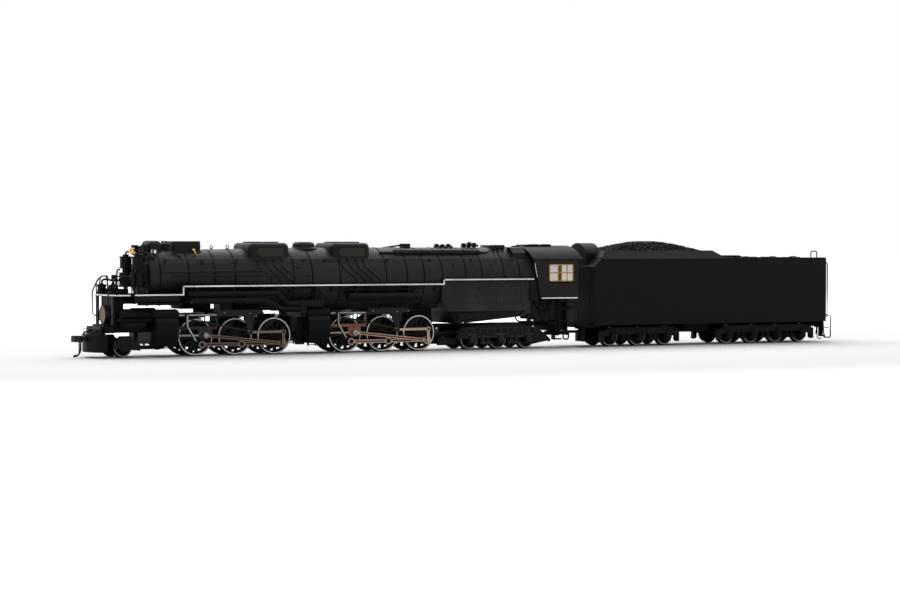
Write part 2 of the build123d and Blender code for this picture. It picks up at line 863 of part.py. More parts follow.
lamp_lateral = 10.2
lamp_height = smokebox_crown - 1.15
valves = (
    (173.6, 1.0, 1.9),
    (177.0, 1.0, 1.7),
    (180.4, 1.0, 1.9),
    (189.4, 1.1, 2.2),
    (192.6, 0.9, 2.8),
    (195.4, 1.1, 2.4),
)
throttle_box = (153.2, 157.6)
dry_pipe_lateral = 9.2
dry_pipe_height = barrel_crown - 2.4
cover_start = 211.6
cover_length = 7.6
cover_section = ((5.6, -8.0), (5.6, 0.2), (9.4, -0.1), (12.2, -2.8), (12.6, -9.0))
with BuildPart() as top_fittings:
    rounded_box((14.6, 22.0), 6.0, (smokebox_crown - 5.75, smokebox_crown + 4.25), 2.5, 2.4)
    rounded_box((22.6, 26.8), 3.0, (smokebox_crown - 4.75, smokebox_crown + 3.25), 1.2, 1.0)
    for station, radius, rise in valves:
        post(station, 0, (barrel_crown - 5, barrel_crown + rise), radius)
    block(throttle_box, (-1.8, 1.8), (barrel_crown - 4, barrel_crown + 2))
    link((142.2, barrel_crown - 0.2), (throttle_box[0] + 0.4, barrel_crown + 1.2), (-0.35, 0.35), 0.35, 0.45)
    rounded_box((202.5, 211.4), 5.0, (barrel_crown - 6.6, barrel_crown + 1.3), 1.0, 0.8)
    for side in (-1, 1):
        bar_along((14.6, 17.2), side * lamp_lateral, lamp_height, 1.15)
        post(15.9, side * lamp_lateral, (lamp_height - 5.6, lamp_height - 0.6), 0.55)
        bar_along((144.6, 192.8), side * dry_pipe_lateral, dry_pipe_height, 1.5)
        bar_along((136.5, 145.0), side * dry_pipe_lateral, dry_pipe_height - 0.2, 0.7)
        with BuildSketch(cross_view(cover_start)) as cover:
            Polygon(*[(side * right, barrel_crown + rise) for right, rise in cover_section], align=None)
        extrude(cover.sketch, amount=cover_length)
    cut_boiler()
keep("top_fittings", top_fittings)

# Running boards: three level plates joined by risers, one each side

with BuildPart() as running_boards:
    plate(
        [
            (board_start, low_board - board_thickness),
            (board_start, low_board),
            (board_step, low_board),
            (board_step, middle_board),
            (firebox_start, middle_board),
            (firebox_start, high_board),
            (board_end, high_board),
            (board_end, high_board - board_thickness),
            (firebox_start + board_thickness, high_board - board_thickness),
            (firebox_start + board_thickness, middle_board - board_thickness),
            (board_step + board_thickness, middle_board - board_thickness),
            (board_step + board_thickness, low_board - board_thickness),
        ],
        (smokebox_radius - board_tuck, half_width),
    )
    cut_boiler()
    for stations, inner in (
        ((firebox_start, board_end), firebox_half_width),
        ((taper_end, firebox_start), barrel_radius - barrel_tuck),
        ((board_start, smokebox_start), smokebox_radius - pump_tuck),
    ):
        block(stations, (0, inner), (low_board - 5, high_board + 5), Mode.SUBTRACT)
    mirror(about=Plane.XZ)
keep("running_boards", running_boards)

# Pipes and tanks hung under the boards: steam pipes, cooling coils and air reservoirs

upper_pipe_height = 30.4
lower_pipe_height = 26.9
pipe_lateral = 16.8
pipe_radius = 1.55
reservoir_radius = 1.9
reservoir_height = 28.4
hanger_half = 0.4
flange_box_half = 1.9
pipe_routes = (
    ((30.0, upper_pipe_height), (77.0, upper_pipe_height), (82.4, 25.2), (90.0, 25.2)),
    ((32.0, lower_pipe_height), (70.4, lower_pipe_height), (79.6, 22.5), (90.0, 22.5)),
)
coil_radius = 1.6
injector_laterals = (11.0, 17.4)


def hanger(station, bottom):
    """A strap from the underside of the middle board to a pipe or tank."""
    under_board = middle_board - board_thickness
    block(
        (station - hanger_half, station + hanger_half),
        (pipe_lateral - 0.7, pipe_lateral + 0.7),
        (bottom, under_board),
    )


with BuildPart() as side_pipes:
    for places in pipe_routes:
        with BuildLine() as route:
            FilletPolyline(*[(x_at(s), pipe_lateral, z) for s, z in places], radius=3.0)
        with BuildSketch(Plane(origin=route.line @ 0, z_dir=route.line % 0)) as section:
            Circle(pipe_radius)
        sweep(section.sketch, path=route.line)
    bar_along((115.0, 154.0), pipe_lateral, reservoir_height, reservoir_radius)
    for station in (117.5, 151.5):
        bar_along((station - 0.4, station + 0.4), pipe_lateral, reservoir_height, reservoir_radius + 0.2)
    for station in (35.0, 54.0, 69.0):
        hanger(station, lower_pipe_height)
    for station in (120.0, 149.0):
        hanger(station, reservoir_height)
    under_low_board = low_board - board_thickness
    bar_along((4.0, 26.0), pipe_lateral, under_low_board - coil_radius, coil_radius)
    coil_seat = (under_low_board - 1.2 * coil_radius, under_low_board)
    block((5.0, 25.0), (pipe_lateral - 1.5, pipe_lateral + 1.5), coil_seat)
    flange_laterals = (pipe_lateral - flange_box_half, half_width)
    block((88.6, 101.5), flange_laterals, (23.6, 26.8))
    block((88.6, 92.1), flange_laterals, (20.7, 26.8))
    hanger(97.5, 26.0)
    block((219.1, 224.0), injector_laterals, (25.2, high_board - board_thickness))
    cut_boiler()
    mirror(about=Plane.XZ)
keep("side_pipes", side_pipes)

# Handrails along the boiler on short stanchions

rail_rise = 10.1
rail_stand_off = 1.25
rail_height = barrel_height + rail_rise
rail_lateral = sqrt(barrel_radius**2 - rail_rise**2) + rail_stand_off
stanchion_half = 0.3
stanchion_stations = (21.0, 40.0, 58.0, 93.0, 104.5, 139.0, 163.0, 187.0, 211.0)
with BuildPart() as boiler_handrails:
    bar_along((20.0, 212.0), rail_lateral, rail_height, wire_radius)
    for station in stanchion_stations:
        block(
            (station - stanchion_half, station + stanchion_half),
            (rail_lateral - 5.0, rail_lateral),
            (rail_height - stanchion_half, rail_height + stanchion_half),
        )
    cut_boiler()
    mirror(about=Plane.XZ)
keep("boiler_handrails", boiler_handrails)


# Cab: side sheets with windows, a front wall around the boiler, an arched roof, floor and backhead

roof_half = half_width + roof_overhang
inner_half = half_width - cab_wall
front_window_laterals = (inner_half - 3.0, inner_half - 0.8)
front_window_heights = (cab_eave - 5.5, cab_eave - 1.1)
cab_front_top = roof_start + 0.5

with BuildPart() as cab:
    plate(
        [
            (cab_front_top, cab_eave),
            (224.9, cab_bottom),
            (cab_rear, cab_bottom),
            (cab_rear, cab_eave),
        ],
        (inner_half, half_width),
    )
    block(
        (window_start, window_end),
        (inner_half, half_width),
        (window_bottom, window_top),
        Mode.SUBTRACT,
    )
    with BuildSketch(cross_view(cab_front_wall)):
        with BuildLine():
            Polyline(
                (-inner_half, cab_eave),
                (-inner_half, cab_bottom),
                (inner_half, cab_bottom),
                (inner_half, cab_eave),
            )
            ThreePointArc(
                (inner_half, cab_eave),
                (0, roof_top - roof_thickness - seat_gap),
                (-inner_half, cab_eave),
            )
        make_face()
    extrude(amount=cab_wall)
    mirror(about=Plane.XZ)
    for side in crank_angles:
        opening = sorted(sided(side, front_window_laterals))
        block((cab_front_wall, cab_front_wall + cab_wall), opening, front_window_heights, Mode.SUBTRACT)
keep("cab", cab)

with BuildPart() as cab_roof:
    with BuildSketch(cross_view(roof_start)):
        with BuildLine():
            ThreePointArc((-roof_half, cab_eave), (0, roof_top), (roof_half, cab_eave))
            ThreePointArc((-inner_half, cab_eave), (0, roof_top - roof_thickness), (inner_half, cab_eave))
            Line((-roof_half, cab_eave), (-inner_half, cab_eave))
            Line((roof_half, cab_eave), (inner_half, cab_eave))
        make_face()
    extrude(amount=roof_end - roof_start)
    block((223.4, 238.8), (-5, 5), (roof_top - 0.7, roof_top + 0.5))
keep("cab_roof", cab_roof)

backhead_radius = 11.5
floor_thickness = 0.9
backhead_depth = 3.0
seat_laterals = (inner_half - 5.6, inner_half - 1.2)
with BuildPart() as cab_interior:
    inside = (cab_front_wall + cab_wall, cab_rear)
    backhead = (inside[0], inside[0] + backhead_depth)
    block(inside, (-inner_half + seat_gap, inner_half - seat_gap), (cab_bottom, cab_bottom + floor_thickness))
    bar_along(backhead, 0, barrel_height, backhead_radius)
    block(backhead, (-backhead_radius + 3, backhead_radius - 3), (cab_bottom, barrel_height))
    block((236.0, 240.0), seat_laterals, (cab_bottom, cab_bottom + 5))
    block((239.4, 240.4), seat_laterals, (cab_bottom, cab_bottom + 9))
    mirror(about=Plane.XZ)
    block(inside, (-inner_half, inner_half), (0, cab_bottom), Mode.SUBTRACT)
keep("cab_interior", cab_interior)


# Front end, carried by the front engine: nose frame, deck, reservoirs, pilot, headlight, rails, coupler

nose_start = -9.0
nose_half = 7.9
deck_top = 30.3
deck_thickness = 0.9
deck_start = -6.9
deck_end = 1.2
deck_half = 17.5
deck_front_half = 9.6
deck_corner = 4.0
pedestal = (-4.5, 1.0)
shelf_heights = (17.4, 18.6)
tank_radius = 2.2
tank_lateral = 12.8
tank_height = shelf_heights[1] + tank_radius - 0.2
low_tank_radius = 2.0
low_tank_lateral = 13.4
stand_height = 4.7
locker_height = 2.7

with BuildPart() as front_deck:
    plate(
        [
            (nose_start, 12.0),
            (nose_start, 16.0),
            (pedestal[0], 16.0),
            (pedestal[0], deck_top),
            (pedestal[1], deck_top),
            (pedestal[1], shelf_heights[1]),
            (front_cylinder_start, shelf_heights[1]),
            (front_cylinder_start, 12.0),
        ],
        (-nose_half, nose_half),
    )
    with BuildSketch(plan_view(deck_top - deck_thickness)):
        Polygon(
            (deck_start, -deck_front_half),
            (deck_start + deck_corner, -deck_half),
            (deck_end, -deck_half),
            (deck_end, deck_half),
            (deck_start + deck_corner, deck_half),
            (deck_start, deck_front_half),
            align=None,
        )
    extrude(amount=deck_thickness)
    block((-3.0, front_cylinder_start - 1), (-15.2, 15.2), shelf_heights)
    for lateral in (-tank_lateral, tank_lateral):
        bar_along((-2.0, front_cylinder_start - 1.5), lateral, tank_height, tank_radius)
        post(-4.2, lateral * 0.62, (deck_top, deck_top + stand_height), 1.9)
        locker = sorted((lateral * 0.7, lateral * 0.84))
        block((-3.0, -0.4), locker, (deck_top, deck_top + locker_height))
    for lateral in (-low_tank_lateral, low_tank_lateral):
        bar_along((-2.0, 9.5), lateral, shelf_heights[0] - low_tank_radius + 0.2, low_tank_radius)
keep("front_deck", front_deck)

# Pilot: a swept plough under a buffer beam

beam_half = 10.5
step_post_lateral = 11.0
step_post_half = 1.3
with BuildPart() as pilot:
    block((-11.2, nose_start), (-beam_half, beam_half), (11.0, 15.0))
    with BuildSketch(plan_view(2.8)):
        with BuildLine():
            ThreePointArc((-10.6, -14.0), (-15.6, 0), (-10.6, 14.0))
            Polyline((-10.6, 14.0), (nose_start, 14.0), (nose_start, -14.0), (-10.6, -14.0))
        make_face()
    extrude(amount=8.4)
    for lateral in (-step_post_lateral, step_post_lateral):
        step_post = (lateral - step_post_half, lateral + step_post_half)
        block((-5.8, -4.9), step_post, (12.0, deck_top - deck_thickness))
        block((-9.5, -4.9), step_post, (12.0, 15.0))
keep("pilot", pilot)

# Headlight on the front of the deck's pedestal

headlight_height = 20.6
with BuildPart() as headlight:
    bar_along((-6.0, pedestal[0]), 0, headlight_height, 4.0)
    bar_along((-6.8, -6.0), 0, headlight_height, 4.5)
    bar_along((-6.8, -6.3), 0, headlight_height, 3.7, Mode.SUBTRACT)
keep("headlight", headlight)

# Deck handrails: a hoop each side from the step post, over the deck edge and down to the deck

hoop_lateral = 11.4
hoop = (
    (-6.0, 19.7),
    (-7.8, 20.9),
    (-7.8, 31.6),
    (-5.6, 36.2),
    (-3.1, 38.9),
    (-0.7, 38.9),
    (0.8, deck_top + 0.1),
)
with BuildPart() as deck_handrails:
    wire([(station, hoop_lateral, height) for station, height in hoop], 0.8)
    mirror(about=Plane.XZ)
keep("deck_handrails", deck_handrails)


# Couplers: a shank, a hooked head and a trip pin curling forward below it

coupler_height = 9.2
head_half_width = 2.6
head_height = 3.0


def coupler(name, face, shank_start, forward):
    """forward is -1 for the front coupler, whose stations fall towards its face, and 1 for the rear one."""
    neck = face - forward * 4.6
    outline = [
        (neck, -1.2),
        (neck + forward * 1.2, -head_half_width),
        (face, -head_half_width),
        (face, -0.6),
        (face - forward * 2.0, -0.4),
        (face - forward * 2.0, 1.4),
        (face, 1.8),
        (face - forward * 0.8, head_half_width),
        (neck + forward * 1.2, head_half_width),
        (neck, 1.2),
    ]
    with BuildPart() as drawn_coupler:
        shank = sorted((shank_start, neck + forward * 0.5))
        block(shank, (-1.2, 1.2), (coupler_height - 1.0, coupler_height + 1.0))
        with BuildSketch(plan_view(coupler_height - head_height / 2)):
            Polygon(*[(station, -forward * right) for station, right in outline], align=None)
        extrude(amount=head_height)
        wire(
            [
                (neck + forward * 1.2, 0, coupler_height - 1),
                (neck + forward * 1.2, 0, 1.6),
                (face - forward * 0.6, 0, 1.2),
            ],
            1.0,
        )
    keep(name, drawn_coupler)


pilot_front = -15.6
coupler("front_coupler", -coupler_reach, pilot_front, -1)
coupler("tender_coupler", x_at(-length_over_couplers / 2), tender_rear + 0.9, 1)


# Trucks: arched side frames over the journal boxes, joined by transoms and a spine to the pivot


def between(axles):
    """Stations midway between neighbouring axles."""
    return [(front + back) / 2 for front, back in zip(axles, axles[1:])]


def side_frame(axles, axle_height, top_edge, arch_height, guards):
    """One cast side frame, its journal boxes, springs and end guards; top_edge runs from front to back."""
    outline = list(top_edge)
    for axle in reversed(axles):
        outline.append((axle + journal_box_half, arch_height))
        outline.append((axle + journal_box_half, journal_box_bottom))
        outline.append((axle - journal_box_half, journal_box_bottom))
        outline.append((axle - journal_box_half, arch_height))
    plate(outline, (truck_inner, truck_inner + truck_thickness))
    for axle in axles:
        block(
            (axle - journal_box_half + 0.4, axle + journal_box_half - 0.4),
            (truck_inner, truck_inner + truck_thickness + journal_box_proud),
            (journal_box_bottom + 0.3, axle_height + 1.8),
        )
        cover = truck_inner + truck_thickness + journal_box_proud
        disc((axle, axle_height), (cover - 0.1, cover + journal_cover_proud), journal_cover_radius)
    for station in between(axles):
        seat = (truck_inner + 0.2, truck_inner + truck_thickness - 0.2)
        block((station - spring_plank_half, station + spring_plank_half), seat, spring_plank_heights)
        for offset in (-spring_offset, spring_offset):
            coil = (spring_plank_heights[1] - 0.1, arch_height + 0.1)
            post(station + offset, sum(seat) / 2, coil, spring_radius)
    for station in guards:
        stations = (station - guard_half, station + guard_half)
        block(stations, (truck_inner, truck_inner + truck_thickness), guard_heights)
    for axle in axles:
        disc(
            (axle, axle_height),
            (truck_inner, journal_end + pin_clearance * 3),
            journal_radius + pin_clearance,
            Mode.SUBTRACT,
        )


def truck(name, axles, axle_height, top_edge, arch_height, guards, transoms, pivot, cross_heights):
    """cross_heights are the bottom and top of the transoms and of the spine that reaches the pivot."""
    with BuildPart() as frame:
        side_frame(axles, axle_height, top_edge, arch_height, guards)
        mirror(about=Plane.XZ)
        for station in transoms:
            block(
                (station - transom_half, station + transom_half),
                (-truck_inner - 0.5, truck_inner + 0.5),
                cross_heights,
            )
        reach = (min(transoms + [pivot]), max(transoms + [pivot]))
        block(reach, (-spine_half_width, spine_half_width), cross_heights)
        post(pivot, 0, cross_heights, spine_half_width)
        post(pivot, 0, cross_heights, king_pin_radius + pin_clearance, Mode.SUBTRACT)
    keep(name, frame)


carrying_height = carrying_tread + flange_depth
lead_edge = [(-5.6, 4.6), (-4.2, 8.2), (4.6, 8.2), (7.6, 6.4), (7.6, 3.4)]
trailing_edge = [
    (178.5, 5.6),
    (181.0, 11.6),
    (195.0, 12.8),
    (214.0, 13.2),
    (222.5, 12.0),
    (228.5, 7.4),
    (233.5, 5.0),
    (233.5, 3.6),
]
truck("lead_truck", [0.0], lead_tread + flange_depth, lead_edge, 4.4, [], [6.6], lead_pivot, (3.6, 5.2))
truck(
    "trailing_truck",
    trailing_axles,
    carrying_height,
    trailing_edge,
    6.0,
    [],
    between(trailing_axles),
    trailing_pivot,
    (transom_bottom, transom_top),
)
for name, axles in (("tender_front_truck", tender_front_axles), ("tender_rear_truck", tender_rear_axles)):
    centre = (axles[0] + axles[-1]) / 2
    first, last = axles[0], axles[-1]
    front_slope = [(first - 6.6, 4.4), (first - 5.4, 8.6), (first, 9.4)]
    back_slope = [(last, 9.4), (last + 5.4, 8.6), (last + 6.6, 4.4)]
    truck(
        name,
        axles,
        carrying_height,
        front_slope + back_slope,
        6.4,
        [first - 6.6, last + 6.6],
        between(axles),
        centre,
        (transom_bottom, transom_top),
    )


# Drawbar between engine and tender

drawbar_half_width = 2.6
with BuildPart() as drawbar:
    with BuildSketch(plan_view(drawbar_bottom)):
        with Locations(((engine_drawbar_pin + tender_drawbar_pin) / 2, 0)):
            SlotCenterToCenter(tender_drawbar_pin - engine_drawbar_pin, 2 * drawbar_half_width)
    extrude(amount=drawbar_top - drawbar_bottom)
    for station in (engine_drawbar_pin, tender_drawbar_pin):
        heights = (drawbar_bottom, drawbar_top)
        post(station, 0, heights, king_pin_radius + pin_clearance, Mode.SUBTRACT)
keep("drawbar", drawbar)


# Tender: tank body with a coal bunker on its front half, coal load, frame and coupler

front_shoulder = 42.5
hood_half = 9.5
hood_spring = 49.5
hood_crown = 54.9
hood_end = 266.5
with BuildPart() as tender_tank:
    block((tender_front, tender_rear), (-half_width, half_width), (tender_bottom, tender_top))
    with BuildSketch(cross_view(bunker_start)):
        Polygon(
            (-half_width, tender_top),
            (-bunker_half_width, bunker_top),
            (bunker_half_width, bunker_top),
            (half_width, tender_top),
            align=None,
        )
    extrude(amount=bunker_toe - bunker_start)
    across = (-half_width, half_width)
    above = bunker_top + 1
    shoulder_end = hood_end - 0.5
    front_wedge = [(tender_front, front_shoulder), (shoulder_end, bunker_top), (shoulder_end, above)]
    rear_wedge = [(bunker_end, above), (bunker_end, bunker_top), (bunker_toe, tender_top)]
    plate(front_wedge + [(tender_front, above)], across, Mode.SUBTRACT)
    plate(rear_wedge + [(bunker_toe, above)], across, Mode.SUBTRACT)
    pit = (-coal_half_width, coal_half_width)
    block((coal_start, coal_end), pit, (coal_floor, bunker_top), Mode.SUBTRACT)
    with BuildSketch(cross_view(tender_front + 0.4)):
        with BuildLine():
            Polyline(
                (hood_half, hood_spring),
                (hood_half, coal_floor - 5),
                (-hood_half, coal_floor - 5),
                (-hood_half, hood_spring),
            )
            ThreePointArc((-hood_half, hood_spring), (0, hood_crown), (hood_half, hood_spring))
        make_face()
    extrude(amount=hood_end - tender_front - 0.4)
    block((350.0, 360.0), (-5, 5), (tender_top, tender_top + 1.2))
    bar_along((tender_rear - 0.5, tender_rear + 1.4), 0, tender_top - 3, 1.7)
keep("tender_tank", tender_tank)

# Coal heap: (height, station margin at each end, half width) of its sections

coal_sections = ((coal_floor, 0.3, 13.1), (50.0, 0.6, 13.0), (53.4, 14.0, 8.0), (56.0, 27.0, 2.5))
with BuildPart() as coal_load:
    for height, margin, half in coal_sections:
        with BuildSketch(plan_view(height)):
            with Locations(((coal_start + coal_end) / 2, 0)):
                Rectangle(coal_end - coal_start - 2 * margin, 2 * half)
    loft(ruled=True)
keep("coal_load", coal_load)

with BuildPart() as tender_frame:
    block((tender_front + 1, tender_rear), (-sill_half_width, sill_half_width), (sill_bottom, tender_bottom))
    block((318.8, 334.4), (-10, 10), (7.0, tender_bottom))
    block((251.6, 261.6), (-17.0, 17.0), (10.4, tender_bottom))
    block((tender_rear - 3.1, tender_rear + 0.9), (-15.0, 15.0), (9.6, tender_bottom))
    block((tender_rear - 5.1, tender_rear + 0.9), (-2.9, 2.9), (7.4, tender_bottom))
    for axles in (tender_front_axles, tender_rear_axles):
        post((axles[0] + axles[-1]) / 2, 0, (transom_bottom - 0.4, sill_bottom), king_pin_radius)
    post(tender_drawbar_pin, 0, (drawbar_bottom - 0.5, sill_bottom), king_pin_radius)
    for stations in ((251.6, 256.4), (tender_rear - 1.6, tender_rear + 0.9)):
        for lateral in (-15.2, 15.2):
            block(stations, (lateral - 1.7, lateral + 1.7), (3.2, 3.9))
            block((stations[0], stations[0] + 0.7), (lateral - 1.7, lateral + 1.7), (3.2, tender_bottom))
keep("tender_frame", tender_frame)

# Handrails at the tender's rear corners, one on the left of its deck, and a ladder up its back

deck_rail_lateral = 16.5
deck_rail_rise = 3.8
deck_rail = (tender_rear - 9, tender_rear - 5)
corner_rail_lateral = 15.5
corner_rail_reach = 3.0
corner_rail_heights = (14.0, 44.0)
ladder_laterals = (-9.6, -4.4)
ladder_station = tender_rear + 1.2
ladder_heights = (13.2, 45.4)
rung_count = 9
with BuildPart() as tender_handrails:
    wire(
        [
            (tender_rear, corner_rail_lateral, corner_rail_heights[1]),
            (tender_rear + corner_rail_reach, corner_rail_lateral, corner_rail_heights[1]),
            (tender_rear + corner_rail_reach, corner_rail_lateral, corner_rail_heights[0]),
            (tender_rear, corner_rail_lateral, corner_rail_heights[0]),
        ],
        1.0,
    )
    mirror(about=Plane.XZ)
    wire(
        [
            (deck_rail[1], deck_rail_lateral, tender_top),
            (deck_rail[1], deck_rail_lateral, tender_top + deck_rail_rise),
            (deck_rail[0], deck_rail_lateral, tender_top + deck_rail_rise),
            (deck_rail[0], deck_rail_lateral, tender_top),
        ],
        1.0,
    )
    rung_pitch = (ladder_heights[1] - ladder_heights[0]) / (rung_count + 1)
    for rung in range(1, rung_count + 1):
        disc((ladder_station, ladder_heights[0] + rung_pitch * rung), ladder_laterals, wire_radius)
    for lateral in ladder_laterals:
        post(ladder_station, lateral, ladder_heights, 1.2 * wire_radius)
        for height in (ladder_heights[0] + 1, ladder_heights[1] - 1):
            bar_along((tender_rear, ladder_station), lateral, height, wire_radius)
keep("tender_handrails", tender_handrails)
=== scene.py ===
from math import cos, pi, radians, sin, sqrt

import bmesh
import bpy
from mathutils import Matrix, Vector


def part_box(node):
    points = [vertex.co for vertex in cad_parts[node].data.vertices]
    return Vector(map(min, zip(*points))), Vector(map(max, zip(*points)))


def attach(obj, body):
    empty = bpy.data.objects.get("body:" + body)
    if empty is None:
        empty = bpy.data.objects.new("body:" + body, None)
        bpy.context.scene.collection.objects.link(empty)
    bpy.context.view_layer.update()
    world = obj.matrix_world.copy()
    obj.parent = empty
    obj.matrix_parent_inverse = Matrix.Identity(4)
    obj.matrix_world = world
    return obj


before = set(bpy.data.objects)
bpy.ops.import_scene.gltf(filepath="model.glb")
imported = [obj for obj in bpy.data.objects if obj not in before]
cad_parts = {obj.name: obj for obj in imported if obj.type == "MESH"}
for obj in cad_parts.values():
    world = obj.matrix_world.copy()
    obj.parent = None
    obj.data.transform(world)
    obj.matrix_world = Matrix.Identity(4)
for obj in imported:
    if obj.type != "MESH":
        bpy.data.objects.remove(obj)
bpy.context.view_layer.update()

# Frames: cast blocks, beams and the tender's underframe, in satin black paint that gathers dust near
# the floor. Everything else is fixed to them, so the places along the engine are defined here:
# millimetres behind the leading axle, to the left and up.
mm = 0.001
lead_low, lead_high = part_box("lead_wheelset")
lead_axle_x = (lead_low.x + lead_high.x) / 2


def at(station, lateral, height):
    """Frame point of a place in millimetres."""
    return Vector((lead_axle_x - station * mm, lateral * mm, height * mm))


def make_paint_dust_and_reflection():
    """Shader group: paint with a fine grain, patchy gloss and dust that thins out with height; on the boiler
    the same height mask paints a reflection of the floor.
    """
    group = bpy.data.node_groups.new("paint_dust_and_reflection", "ShaderNodeTree")
    for name, kind in (
        ("Paint", "NodeSocketColor"),
        ("Dust and reflection", "NodeSocketColor"),
        ("Strength", "NodeSocketFloat"),
        ("Reach", "NodeSocketFloat"),
        ("Gloss", "NodeSocketFloat"),
    ):
        group.interface.new_socket(name, in_out="INPUT", socket_type=kind)
    for name, kind in (
        ("Color", "NodeSocketColor"),
        ("Roughness", "NodeSocketFloat"),
        ("Height", "NodeSocketFloat"),
    ):
        group.interface.new_socket(name, in_out="OUTPUT", socket_type=kind)
    link = group.links.new
    entry = group.nodes.new("NodeGroupInput")
    leave = group.nodes.new("NodeGroupOutput")
    where = group.nodes.new("ShaderNodeTexCoord")
    patches = group.nodes.new("ShaderNodeTexNoise")
    patches.inputs["Scale"].default_value = 70
    patches.inputs["Detail"].default_value = 4
    grain = group.nodes.new("ShaderNodeTexNoise")
    grain.inputs["Scale"].default_value = 1600
    split = group.nodes.new("ShaderNodeSeparateXYZ")
    fall = group.nodes.new("ShaderNodeMapRange")
    fall.inputs["To Min"].default_value = 1
    fall.inputs["To Max"].default_value = 0
    settled = group.nodes.new("ShaderNodeMath")
    settled.operation = "MULTIPLY"
    dust_and_reflection = group.nodes.new("ShaderNodeMath")
    dust_and_reflection.operation = "MULTIPLY"
    tint = group.nodes.new("ShaderNodeMix")
    tint.data_type = "RGBA"
    fade = group.nodes.new("ShaderNodeMapRange")
    fade.inputs["From Min"].default_value = 0.3
    fade.inputs["From Max"].default_value = 0.7
    fade.inputs["To Min"].default_value = 0.8
    fade.inputs["To Max"].default_value = 1.25
    shade = group.nodes.new("ShaderNodeVectorMath")
    shade.operation = "SCALE"
    spread = group.nodes.new("ShaderNodeMath")
    spread.operation = "MULTIPLY_ADD"
    spread.inputs[1].default_value = 0.18
    dull = group.nodes.new("ShaderNodeMath")
    dull.operation = "MULTIPLY_ADD"
    dull.inputs[1].default_value = 0.3
    for texture in (patches, grain, split):
        link(where.outputs["Object"], texture.inputs["Vector"])
    link(split.outputs["Z"], fall.inputs["Value"])
    link(entry.outputs["Reach"], fall.inputs["From Max"])
    link(fall.outputs["Result"], settled.inputs[0])
    link(patches.outputs["Fac"], settled.inputs[1])
    link(settled.outputs["Value"], dust_and_reflection.inputs[0])
    link(entry.outputs["Strength"], dust_and_reflection.inputs[1])
    link(dust_and_reflection.outputs["Value"], tint.inputs[0])
    link(entry.outputs["Paint"], tint.inputs[6])
    link(entry.outputs["Dust and reflection"], tint.inputs[7])
    link(patches.outputs["Fac"], fade.inputs["Value"])
    link(tint.outputs[2], shade.inputs[0])
    link(fade.outputs["Result"], shade.inputs["Scale"])
    link(patches.outputs["Fac"], spread.inputs[0])
    link(entry.outputs["Gloss"], spread.inputs[2])
    link(dust_and_reflection.outputs["Value"], dull.inputs[0])
    link(spread.outputs["Value"], dull.inputs[2])
    link(shade.outputs["Vector"], leave.inputs["Color"])
    link(dull.outputs["Value"], leave.inputs["Roughness"])
    link(grain.outputs["Fac"], leave.inputs["Height"])
    return group


paint_dust_and_reflection = make_paint_dust_and_reflection()
road_dust = (0.045, 0.036, 0.028)


def painted(name, paint, gloss, specular, strength=0.0, reach=0.03, metallic=0.0, dust_and_reflection=road_dust):
    """A painted or plated finish with the paint, dust and reflection group; gloss is its lowest roughness."""
    material = bpy.data.materials.new(name)
    material.use_nodes = True
    tree = material.node_tree
    shader = tree.nodes["Principled BSDF"]
    shader.inputs["Specular IOR Level"].default_value = specular
    shader.inputs["Metallic"].default_value = metallic
    coat = tree.nodes.new("ShaderNodeGroup")
    coat.node_tree = paint_dust_and_reflection
    for socket, value in (
        ("Paint", (*paint, 1)),
        ("Dust and reflection", (*dust_and_reflection, 1)),
        ("Strength", strength),
        ("Reach", reach),
        ("Gloss", gloss),
    ):
        coat.inputs[socket].default_value = value
    relief = tree.nodes.new("ShaderNodeBump")
    relief.inputs["Strength"].default_value = 0.2
    relief.inputs["Distance"].default_value = 0.00003
    tree.links.new(coat.outputs["Color"], shader.inputs["Base Color"])
    tree.links.new(coat.outputs["Roughness"], shader.inputs["Roughness"])
    tree.links.new(coat.outputs["Height"], relief.inputs["Height"])
    tree.links.new(relief.outputs["Normal"], shader.inputs["Normal"])
    return material


def dress(material, *nodes):
    """Gives CAD pieces a finish."""
    for node in nodes:
        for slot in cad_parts[node].material_slots:
            slot.material = material


frame_black = painted("frame_black", (0.0035, 0.0034, 0.0032), 0.45, 0.06, strength=0.15)
dress(frame_black, "front_frame", "rear_frame", "tender_frame", "drawbar", "ash_pan")


# Front deck and pilot: a plate deck on a cast pedestal over air tanks, with a plough below, all in the
# same black. A white line is painted along the deck's edge.
deck_black = painted("deck_black", (0.0032, 0.0032, 0.0032), 0.38, 0.07, strength=0.1)
dress(deck_black, "front_deck", "pilot", "deck_handrails")
line_white = painted("line_white", (0.88, 0.88, 0.86), 0.4, 0.3)


def box_into(drawn, stations, laterals, heights, ease=0.0):
    """Adds a block between two stations, laterals and heights, with its edges eased."""
    spans = [high - low for low, high in (stations, laterals, heights)]
    centre = at(sum(stations) / 2, sum(laterals) / 2, sum(heights) / 2)
    shape = Matrix.Translation(centre) @ Matrix.Diagonal((*[span * mm for span in spans], 1))
    made = bmesh.ops.create_cube(drawn, size=1.0, matrix=shape)
    if ease:
        edges = {edge for vert in made["verts"] for edge in vert.link_edges}
        bmesh.ops.bevel(drawn, geom=list(edges), offset=ease * mm, segments=1, affect="EDGES", profile=0.5)


def flank(side, inner, outer):
    """Lateral span between two distances from the middle, on one side of the engine."""
    return sorted((side * inner, side * outer))


def prism_into(drawn, near, far):
    """Adds a solid between two like outlines of frame points."""
    near = [drawn.verts.new(point) for point in near]
    far = [drawn.verts.new(point) for point in far]
    drawn.faces.new(near)
    drawn.faces.new(list(reversed(far)))
    for step in range(len(near)):
        follow = (step + 1) % len(near)
        drawn.faces.new((near[step], far[step], far[follow], near[follow]))


def place(name, mesh, body):
    """Puts a finished mesh in the scene as a piece that rides on a body."""
    piece = bpy.data.objects.new(name, mesh)
    bpy.context.scene.collection.objects.link(piece)
    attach(piece, body)
    return piece


